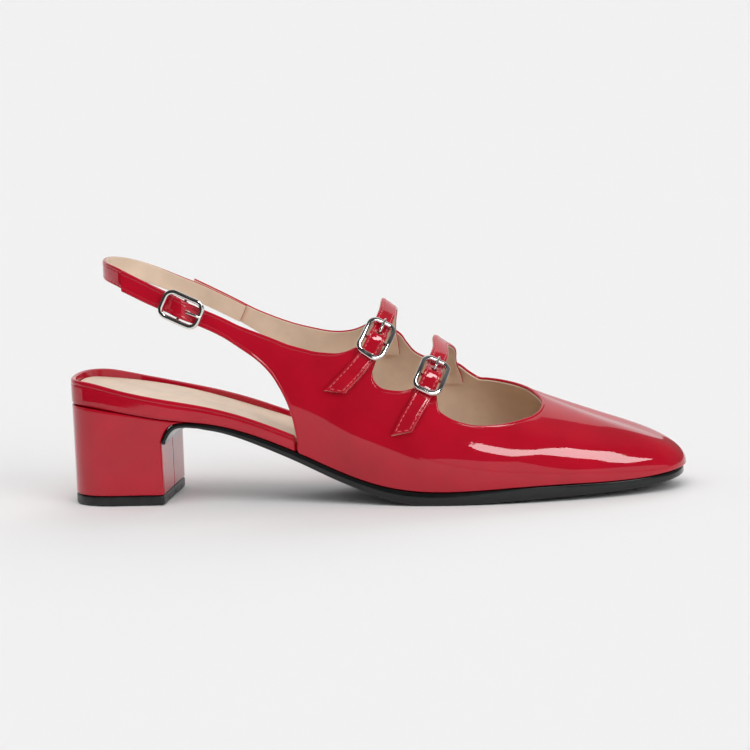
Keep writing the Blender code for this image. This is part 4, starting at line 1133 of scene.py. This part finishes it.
# ---------------------------------------------------------------- sole and heel
# Edge of the outsole from its upper face to its tread: inset, share of its thickness, drop.
SOLE_EDGE_ROWS = [
    (0.30, 0.0, 0.0), (0.10, 0.0, 0.06), (0.0, 0.0, 0.22), (0.0, 0.5, 0.0), (0.0, 1.0, -0.62),
    (0.06, 1.0, -0.36), (0.24, 1.0, -0.14), (0.5, 1.0, -0.03), (SOLE_EDGE, 1.0, 0.0)]
SOLE_RIBS = np.concatenate([np.linspace(0.0, 0.5, 12), np.arange(0.58, 9.1, 0.085), [9.12]])
FACE_SHARES = (0.75, 0.45, 0.15)
FLAP_END = [(0.25, 0.06), (0.42, 0.2), (0.5, 0.5)]      # drop and loss on either face
HEEL_EDGE = 0.5               # round on the heel's upper edge
HEEL_CORNER = 1.3             # round between its breast and its sides
LIP_FADE = 5.0                # length over which its sides run out to the feather line
HEEL_SEAM = [(-0.35, 0.0), (-0.3, 0.08), (-0.12, 0.2), (0.0, 0.45)]     # groove down the breast
# Rows of the heel's cover and of the top piece: share of the height, drop below that, inset.
COVER_ROWS = [(0.0, 0.0, 0.5), (0.0, -0.1, 0.2), (0.0, -0.3, 0.04), (0.0, -0.7, 0.0)]
COVER_ROWS += [(share, 0.0, 0.0) for share in (0.1, 0.22, 0.34, 0.46, 0.56, 0.64)]
TOP_PIECE_ROWS = [
    (0.0, 0.0, 0.7), (0.0, -0.12, 0.35), (0.0, -0.4, 0.08), (0.0, -0.8, 0.0), (0.5, 0.0, 0.0),
    (1.0, 0.5, 0.0), (1.0, 0.15, 0.08), (1.0, 0.0, 0.3)]


def across(rows):
    """Section from the rows of either side: upper face, outer edge, tread and inner edge."""
    outer, inner = ([np.array([x, side * y, z]) for x, y, z in rows(side)] for side in (-1, 1))
    top = [outer[0] * share + inner[0] * (1 - share) for share in FACE_SHARES[::-1]]
    foot = [outer[-1] * share + inner[-1] * (1 - share) for share in FACE_SHARES]
    return [*top, *outer, *foot, *inner[::-1]]


def sole_rows(rib):
    """Edge of the outsole at a rib."""
    def rows(side):
        made = []
        tuck = float(sole_tuck(plan(side * rib, 0.0)[0]))
        for inset, share, drop in SOLE_EDGE_ROWS:
            low = max(0.0, 2 * share - 1) * tuck
            x, y = plan(side * rib, tuck + inset * (1 + low / SOLE_EDGE))
            top, foot = float(sole_top(x)), float(tread(x))
            made.append((x, side * y, top - share * (top - foot) - drop * (1 + low / 2 / SOLE_EDGE)))
        return made
    return across(rows)


def half_at(x, side):
    """Half width of the feather line on one side."""
    return abs(float(plan(side * rib_at(x), 0.0)[1]))


def bend_rows(top_x, top_z, under_x, under_z):
    """Edge of the outsole where it turns down the breast."""
    thick = max(np.hypot(under_x - top_x, under_z - top_z), 0.1)

    def rows(side):
        half = min(half_at(max(top_x, HEEL_BREAST), side), HEEL_HALF_TOP - GAP)
        made = []
        for inset, share, drop in SOLE_EDGE_ROWS:
            part = min(max(share + drop / thick, 0.0), 1.0)
            made.append((top_x + (under_x - top_x) * part, half - inset,
                         top_z + (under_z - top_z) * part))
        return made
    return across(rows)


def make_outsole():
    """Outsole, its rear end turned down the breast as a short flap."""
    bends = catmull(SOLE_BEND, np.linspace(0.0, len(SOLE_BEND) - 1.0, 43))
    sections = [sole_rows(rib) for rib in SOLE_RIBS] + [bend_rows(*bend) for bend in bends]
    end = Bend(*bends[-1])
    sections += [bend_rows(end.top_x + loss, end.top_z - drop, end.under_x - loss, end.under_z - drop)
                 for drop, loss in FLAP_END]
    piece("outsole", [laid(sections, closed=True)], finish("sole"), "sole_black", "outsole")


def heel_outline(inset, front):
    """Outline of the heel from its front's middle, round the rear: x and share of the half width."""
    face = front - inset
    breast = HEEL_SEAM + [(0.0, y) for y in np.linspace(1.2, 20.2, 12)]
    outline = [(face + x, y / HEEL_HALF_TIP) for x, y in breast]
    outline += [(face - HEEL_CORNER + HEEL_CORNER * cos(angle),
                 1 - (HEEL_CORNER / HEEL_HALF_TIP) * (1 - sin(angle)))
                for angle in np.linspace(0.0, pi / 2, 7)]
    outline += [(x, 1.0) for x in np.linspace(front - 2.5, HEEL_REAR + HEEL_ROUND + 1.0, 9)]
    power = 2.0 / HEEL_SQUARENESS
    rear = HEEL_ROUND - inset
    outline += [(HEEL_REAR + inset + rear * (1 - cos(angle) ** power), sin(angle) ** power)
                for angle in np.linspace(pi / 2, 0.0, 34)]
    return outline


def heel_solid(low, high, rows, half_low, half_high):
    """Part of the heel between two heights, which depend on x.

    A row is a share of the height with a drop, an inset and the x of its front.
    """
    stack = []
    for share, drop, inset, front in rows:
        half = half_low + (half_high - half_low) * share - inset
        ring = []
        for x, part in heel_outline(inset, front):
            z = low(x) + (high(x) - low(x)) * share - drop
            lip = float(ease((x - HEEL_BREAST + LIP_FADE) / LIP_FADE))
            outer, inner = (half * (1 - lip) + min(half, half_at(max(x, HEEL_BREAST), side) - inset) * lip
                            for side in (-1, 1))
            ring.append(((x, -outer * part, z), (x, inner * part, z)))
        stack.append([outer for outer, _ in ring] + [inner for _, inner in ring[-2:0:-1]])
    return laid(stack, closed=True)


def heel_half_at(z):
    """Half width of the heel at a height."""
    return HEEL_HALF_TIP + (HEEL_HALF_TOP - HEEL_HALF_TIP) * z / HEEL_HEIGHT


def lip_rows(low, high):
    """Rows of the heel over the outsole's bend: share of the height, drop, inset and front."""
    line = np.array([(bend.top_x, bend.top_z) for bend in SOLE_BEND[6:0:-1]])
    along = unit(np.gradient(line, axis=0))
    line = catmull(line + np.column_stack([-along[:, 1], along[:, 0]]) * GAP, np.linspace(0.0, 5.0, 21))
    rows = []
    for x, z in line:
        share = (z - low(x)) / (high(x) - low(x))
        depth = min((1 - share) * (high(x) - low(x)), HEEL_EDGE)
        inset = HEEL_EDGE - np.sqrt(HEEL_EDGE ** 2 - (HEEL_EDGE - depth) ** 2)
        if not rows or share > rows[-1][0] + 1e-4:
            rows.append((share, 0.0, inset, x))
    return rows + [(1.0, 0.0, HEEL_EDGE, line[-1][0])]


def make_heel():
    """Heel covered with patent, its seam down the breast, and the top piece under it."""
    def top(x):
        return float(feather_z(x)) - GAP

    cover = [(*row, HEEL_BREAST) for row in COVER_ROWS] + lip_rows(lambda x: LIFT_HEIGHT, top)
    block = heel_solid(lambda x: LIFT_HEIGHT, top, cover, heel_half_at(LIFT_HEIGHT), HEEL_HALF_TOP)
    piece("heel_block", [block], finish("patent"), "heel_patent", "heel_block")
    slab = [(*row, HEEL_BREAST) for row in TOP_PIECE_ROWS]
    top_piece = heel_solid(lambda x: 0.0, lambda x: LIFT_HEIGHT - GAP, slab, heel_half_at(0.0),
                           heel_half_at(LIFT_HEIGHT))
    piece("heel_tip", [top_piece], finish("top_piece"), "tip_black", "heel_tip")


# ---------------------------------------------------------------- studio
Way = namedtuple("Way", "azimuth elevation")
RIBBON_TOP = [Way(14.6, 36.2), Way(20, 43), Way(31, 49.5), Way(44, 55), Way(59, 61), Way(71, 63.5),
              Way(75, 60), Way(63, 46), Way(63, 39), Way(71, 30.5)]
RIBBON_FOOT = [Way(14.2, 35.6), Way(15, 33), Way(24, 36), Way(30, 41), Way(39, 47), Way(44, 46),
               Way(49, 42), Way(49, 33), Way(53, 26), Way(70, 29.5)]
REFLECTOR_TOP = [Way(-12, 0), Way(-8, 3), Way(-3, 7), Way(4, 11), Way(11, 16), Way(17, 21), Way(23, 25),
                 Way(27, 21), Way(30, 15), Way(34, 11), Way(44, 13), Way(50, 14), Way(60, 13), Way(75, 8),
                 Way(90, 3)]
BACK_BOARD = [(-0.45, 0.13, 0.0), (-0.45, 0.13, 0.08), (-0.45, 0.13, 0.2), (-0.45, 0.145, 0.3),
              (-0.45, 0.176, 0.4), (-0.45, 0.195, 0.5)]   # left and right end at each height
BACK_BOARD_Y = 0.2
SCREEN_AZIMUTHS = range(-80, -9, 10)        # dim screen by the heel
SCREEN_ELEVATIONS = (-8, 3, 12)
SCREEN_GLOW = 0.02
RIBBON_AWAY, REFLECTOR_AWAY, SCREEN_AWAY, LAMPS_AWAY = 8.0, 2.6, 0.34, 2.0
SURROUND_BLEND = (-0.1, 0.3)  # between its two sides
FLOOR_HALF = 40.0
FLOOR_CELLS = 8
FLOOR_DROP = 0.0002           # under the tread
MIDDLE = Vector((0.0, 0.0, 0.05))
# Each lamp's azimuth, elevation and spread; its strength is the setting with its name.
LAMPS = {"overhead": (0.0, 62.0, 40.0), "key": (-70.0, 45.0, 38.0), "fill": (48.0, 22.0, 40.0),
         "rear": (175.0, 30.0, 40.0), "sky": (180.0, 88.0, 150.0)}


def aim(azimuth, elevation):
    """Direction out of the shoe; azimuth 0 is square to its outer side, and positive is to the toe."""
    return Vector((sin(azimuth) * cos(elevation), -cos(azimuth) * cos(elevation), sin(elevation)))


def toward(azimuth, elevation, distance):
    """Point in a direction, in degrees, from the middle of the shoe."""
    return aim(radians(azimuth), radians(elevation)) * distance + MIDDLE


def between(low, high, share):
    """Direction part of the way from one to another."""
    return Way(*(a + (b - a) * share for a, b in zip(low, high)))


def glow(name, strength):
    """Material of a lit panel."""
    recipe = Recipe(name, (0.0, 0.0, 0.0), 1.0, specular_ior_level=0.0)
    set_inputs(recipe.shader, {"Emission Color": (1.0, 1.0, 1.0, 1.0), "Emission Strength": strength})
    return recipe.material


def sheet(name, rows, material):
    """Flat sheet of the stage through a grid of points."""
    bm = bmesh.new()
    bmesh.ops.create_grid(bm, x_segments=len(rows[0]) - 1, y_segments=len(rows) - 1, size=1.0)
    for vert, place in zip(bm.verts, [place for row in rows for place in row]):
        vert.co = place
    mesh = bpy.data.meshes.new(name)
    bm.to_mesh(mesh)
    bm.free()
    mesh.materials.append(material)
    made = placed(name, mesh)
    return made


def panel(name, rows, strength):
    """Lit panel, seen only in reflections."""
    made = sheet(name, rows, glow(name, strength))
    made.visible_camera = False
    made.visible_diffuse = False
    made.visible_shadow = False


def make_surround(studio):
    """Dim surround, a little paler behind the shoe."""
    world = bpy.data.worlds.new("surround")
    bpy.context.scene.world = world
    world.use_nodes = True
    nodes, links = world.node_tree.nodes, world.node_tree.links
    place = nodes.new("ShaderNodeTexCoord")
    split = nodes.new("ShaderNodeSeparateXYZ")
    links.new(place.outputs["Generated"], split.inputs["Vector"])
    ramp = nodes.new("ShaderNodeMapRange")
    ramp.interpolation_type = "SMOOTHSTEP"
    set_inputs(ramp, {"From Min": SURROUND_BLEND[0], "From Max": SURROUND_BLEND[1],
                      "To Min": studio.front_gloom, "To Max": studio.back_glow})
    links.new(split.outputs["Y"], ramp.inputs["Value"])
    background = nodes["Background"]
    set_inputs(background, {"Color": (1.0, 0.995, 0.985, 1.0)})
    links.new(ramp.outputs["Result"], background.inputs["Strength"])


def make_panels(studio):
    """Panels that the patent leather reflects."""
    thirds = (0.0, 0.5, 1.0)
    ribbon = [[toward(*between(foot, top, share), RIBBON_AWAY)
               for foot, top in zip(RIBBON_FOOT, RIBBON_TOP)] for share in thirds]
    panel("ribbon", ribbon, studio.ribbon_glow)
    reflector = [[toward(way.azimuth, way.elevation * share, REFLECTOR_AWAY)
                  for way in REFLECTOR_TOP] for share in thirds]
    panel("reflector", reflector, studio.reflector_glow)
    screen = [[toward(azimuth, elevation, SCREEN_AWAY)
               for azimuth in SCREEN_AZIMUTHS] for elevation in SCREEN_ELEVATIONS]
    panel("screen", screen, SCREEN_GLOW)
    back_board = [[Vector((left + (right - left) * share, BACK_BOARD_Y, height))
                   for share in thirds] for left, right, height in BACK_BOARD]
    panel("back_board", back_board, studio.board_glow)


def make_lamps(studio):
    """Wide soft lamps that only the matt surfaces show."""
    for name, (azimuth, elevation, spread) in LAMPS.items():
        light = bpy.data.lights.new(name, "SUN")
        light.angle = radians(spread)
        light.energy = getattr(studio, name)
        lamp = placed(name, light)
        lamp.location = toward(azimuth, elevation, LAMPS_AWAY)
        lamp.rotation_euler = (MIDDLE - lamp.location).to_track_quat("-Z", "Y").to_euler()
        lamp.visible_camera = False
        lamp.visible_glossy = False


def make_camera(studio):
    """Camera, turned about its own axis by the roll."""
    camera = bpy.data.cameras.new("camera")
    camera.sensor_width = 36.0
    camera.lens = camera.sensor_width * studio.distance / studio.view_width
    camera.clip_end = 200.0
    eye = placed("camera", camera)
    back = aim(studio.azimuth, studio.elevation)
    eye.location = Vector(studio.aim) + back * studio.distance
    turn = (-back).to_track_quat("-Z", "Y").to_matrix() @ Matrix.Rotation(-studio.roll, 3, "Z")
    eye.rotation_euler = turn.to_euler()
    bpy.context.scene.camera = eye


def make_studio():
    """Pale floor, surround, panels, soft lamps and the camera."""
    studio = bpy.context.scene.pump_studio
    steps = np.linspace(-FLOOR_HALF, FLOOR_HALF, FLOOR_CELLS + 1)
    floor = sheet("floor", [[Vector((x, y, 0.0)) for x in steps] for y in steps], finish("floor"))
    floor.location.z = -FLOOR_DROP
    make_surround(studio)
    make_panels(studio)
    make_lamps(studio)
    make_camera(studio)
    bpy.context.scene.view_settings.view_transform = "Standard"


# ---------------------------------------------------------------- settings
def length_setting(name, description, default, low, high):
    """Property for a small length, in metres."""
    return FloatProperty(name=name, description=description, default=default, min=low, max=high,
                         unit="LENGTH", precision=5)


def colour_setting(name, description, default):
    """Property for a colour."""
    return FloatVectorProperty(name=name, description=description, default=default, min=0.0, max=1.0,
                               subtype="COLOR")


def light_setting(name, description, default):
    """Property for the strength of a light or the brightness of a panel."""
    return FloatProperty(name=name, description=description, default=default, min=0.0)


class PumpSizes(bpy.types.PropertyGroup):
    """Thicknesses of the upper's layers and of its stitches."""

    skin: length_setting("Patent thickness", "Thickness of the patent leather of the upper",
                         1.1 * MM, 0.4 * MM, 1.5 * MM)
    edge_roll: length_setting("Folded edge", "Height of the roll along a folded edge",
                              0.12 * MM, 0.0, 0.4 * MM)
    lining_tuck: length_setting("Lining tuck", "How far the lining ends short of the edge",
                                0.3 * MM, 0.0, 1.0 * MM)
    ripple: length_setting("Unevenness", "Height of the stretched leather's faint waves",
                           0.05 * MM, 0.0, 0.3 * MM)
    stitch_pitch: length_setting("Stitch pitch", "Distance from stitch to stitch",
                                 2.0 * MM, 1.0 * MM, 4.0 * MM)
    thread: length_setting("Thread", "Thickness of the sewing thread", 0.5 * MM, 0.2 * MM, 0.8 * MM)


class PumpFinishes(bpy.types.PropertyGroup):
    """Colours and gloss of the materials."""

    patent_red: colour_setting("Patent red", "Colour of the patent leather", (0.455, 0.0055, 0.020))
    # The thread's colour is its own red made pinker: painted highlight along the seams.
    thread_red: colour_setting("Thread red", "Colour of the sewing thread", (0.62, 0.09, 0.10))
    patent_haze: FloatProperty(name="Patent haze", description="Roughness of the patent's clear coat",
                               default=0.035, min=0.0, max=0.3, subtype="FACTOR")
    patent_wave: length_setting("Patent wave", "Height of the long waves in the patent's coat",
                                0.05 * MM, 0.0, 0.5 * MM)
    lining_beige: colour_setting("Lining beige", "Colour of the lining and sock", (0.74, 0.57, 0.43))
    sole_black: colour_setting("Sole black", "Colour of the sole and top piece", (0.008, 0.009, 0.009))
    buckle_steel: colour_setting("Buckle steel", "Colour of the polished steel", (0.80, 0.79, 0.77))
    floor_pale: colour_setting("Floor", "Colour of the studio floor", (0.866, 0.866, 0.866))


class PumpStudio(bpy.types.PropertyGroup):
    """Lights and camera."""

    overhead: light_setting("Overhead light", "Strength of the soft light from above", 0.8)
    key: light_setting("Key light", "Strength of the soft light from the heel's side", 0.12)
    fill: light_setting("Fill light", "Strength of the soft light from the toe's side", 1.15)
    rear: light_setting("Rear light", "Strength of the soft light from behind", 0.84)
    sky: light_setting("Sky light", "Strength of the very soft light from all over", 1.3)
    ribbon_glow: light_setting("Ribbon", "Brightness of the curved strip light", 10.0)
    reflector_glow: light_setting("Reflector", "Brightness of the board by the toe", 0.85)
    board_glow: light_setting("Back board", "Brightness of the board behind the shoe", 0.85)
    front_gloom: light_setting("Surround in front", "Brightness of the surround behind the camera", 0.04)
    back_glow: light_setting("Surround behind", "Brightness of the surround behind the shoe", 0.14)
    aim: FloatVectorProperty(name="Aim", description="Point that the camera looks at",
                             default=(0.0, 0.0, 0.048), unit="LENGTH")
    azimuth: FloatProperty(name="Azimuth", description="Turn of the camera towards the toe",
                           default=radians(8.5), unit="ROTATION")
    elevation: FloatProperty(name="Elevation", description="Angle of the camera over the level",
                             default=radians(8.0), unit="ROTATION")
    roll: FloatProperty(name="Roll", description="Turn of the camera about its axis",
                        default=radians(2.5), unit="ROTATION")
    distance: FloatProperty(name="Distance", description="Distance from the camera to its aim",
                            default=2.0, min=0.5, unit="LENGTH")
    view_width: FloatProperty(name="View width", description="Width of the view at the aim",
                              default=0.305, min=0.1, unit="LENGTH")


# ---------------------------------------------------------------- operators
class OBJECT_OT_pump_upper(bpy.types.Operator):
    """Make the upper and its lining"""

    bl_idname = "object.pump_upper"
    bl_label = "Upper"

    def execute(self, context):
        make_upper()
        return {"FINISHED"}


class OBJECT_OT_pump_instep_straps(bpy.types.Operator):
    """Make the two instep straps with their linings and seams"""

    bl_idname = "object.pump_instep_straps"
    bl_label = "Instep straps"

    def execute(self, context):
        make_instep_straps()
        return {"FINISHED"}


class OBJECT_OT_pump_sling(bpy.types.Operator):
    """Make the strap round the heel"""

    bl_idname = "object.pump_sling"
    bl_label = "Sling"

    def execute(self, context):
        make_sling()
        return {"FINISHED"}


class OBJECT_OT_pump_buckles(bpy.types.Operator):
    """Make the buckle frames, prongs and chapes"""

    bl_idname = "object.pump_buckles"
    bl_label = "Buckles"

    def execute(self, context):
        make_buckles()
        return {"FINISHED"}


class OBJECT_OT_pump_insole(bpy.types.Operator):
    """Make the wrapped insole board and the sock"""

    bl_idname = "object.pump_insole"
    bl_label = "Insole"

    def execute(self, context):
        make_insole()
        return {"FINISHED"}


class OBJECT_OT_pump_outsole(bpy.types.Operator):
    """Make the outsole"""

    bl_idname = "object.pump_outsole"
    bl_label = "Outsole"

    def execute(self, context):
        make_outsole()
        return {"FINISHED"}


class OBJECT_OT_pump_heel(bpy.types.Operator):
    """Make the covered heel and its top piece"""

    bl_idname = "object.pump_heel"
    bl_label = "Heel"

    def execute(self, context):
        make_heel()
        return {"FINISHED"}


class OBJECT_OT_pump_studio(bpy.types.Operator):
    """Make the floor, the lights and the camera"""

    bl_idname = "object.pump_studio"
    bl_label = "Studio"

    def execute(self, context):
        make_studio()
        return {"FINISHED"}


OPERATORS = (
    OBJECT_OT_pump_studio, OBJECT_OT_pump_outsole, OBJECT_OT_pump_heel, OBJECT_OT_pump_insole,
    OBJECT_OT_pump_upper, OBJECT_OT_pump_instep_straps, OBJECT_OT_pump_sling, OBJECT_OT_pump_buckles)


class VIEW3D_PT_pump(bpy.types.Panel):
    """Settings and steps of the slingback pump"""

    bl_idname = "VIEW3D_PT_pump"
    bl_label = "Slingback pump"
    bl_space_type = "VIEW_3D"
    bl_region_type = "UI"
    bl_category = "Pump"

    def draw(self, context):
        layout = self.layout
        for group in (context.scene.pump_sizes, context.scene.pump_finishes, context.scene.pump_studio):
            box = layout.box()
            for name in group.__annotations__:
                box.prop(group, name)
        for operator in OPERATORS:
            layout.operator(operator.bl_idname)


CLASSES = (PumpSizes, PumpFinishes, PumpStudio, *OPERATORS, VIEW3D_PT_pump)


def register():
    for cls in CLASSES:
        bpy.utils.register_class(cls)
    bpy.types.Scene.pump_sizes = PointerProperty(type=PumpSizes)
    bpy.types.Scene.pump_finishes = PointerProperty(type=PumpFinishes)
    bpy.types.Scene.pump_studio = PointerProperty(type=PumpStudio)


def unregister():
    del bpy.types.Scene.pump_studio
    del bpy.types.Scene.pump_finishes
    del bpy.types.Scene.pump_sizes
    for cls in reversed(CLASSES):
        bpy.utils.unregister_class(cls)


def main():
    """Make everything."""
    register()
    bpy.ops.object.pump_studio()
    bpy.ops.object.pump_outsole()
    bpy.ops.object.pump_heel()
    bpy.ops.object.pump_insole()
    bpy.ops.object.pump_upper()
    bpy.ops.object.pump_instep_straps()
    bpy.ops.object.pump_sling()
    bpy.ops.object.pump_buckles()


if __name__ == "__main__":
    main()
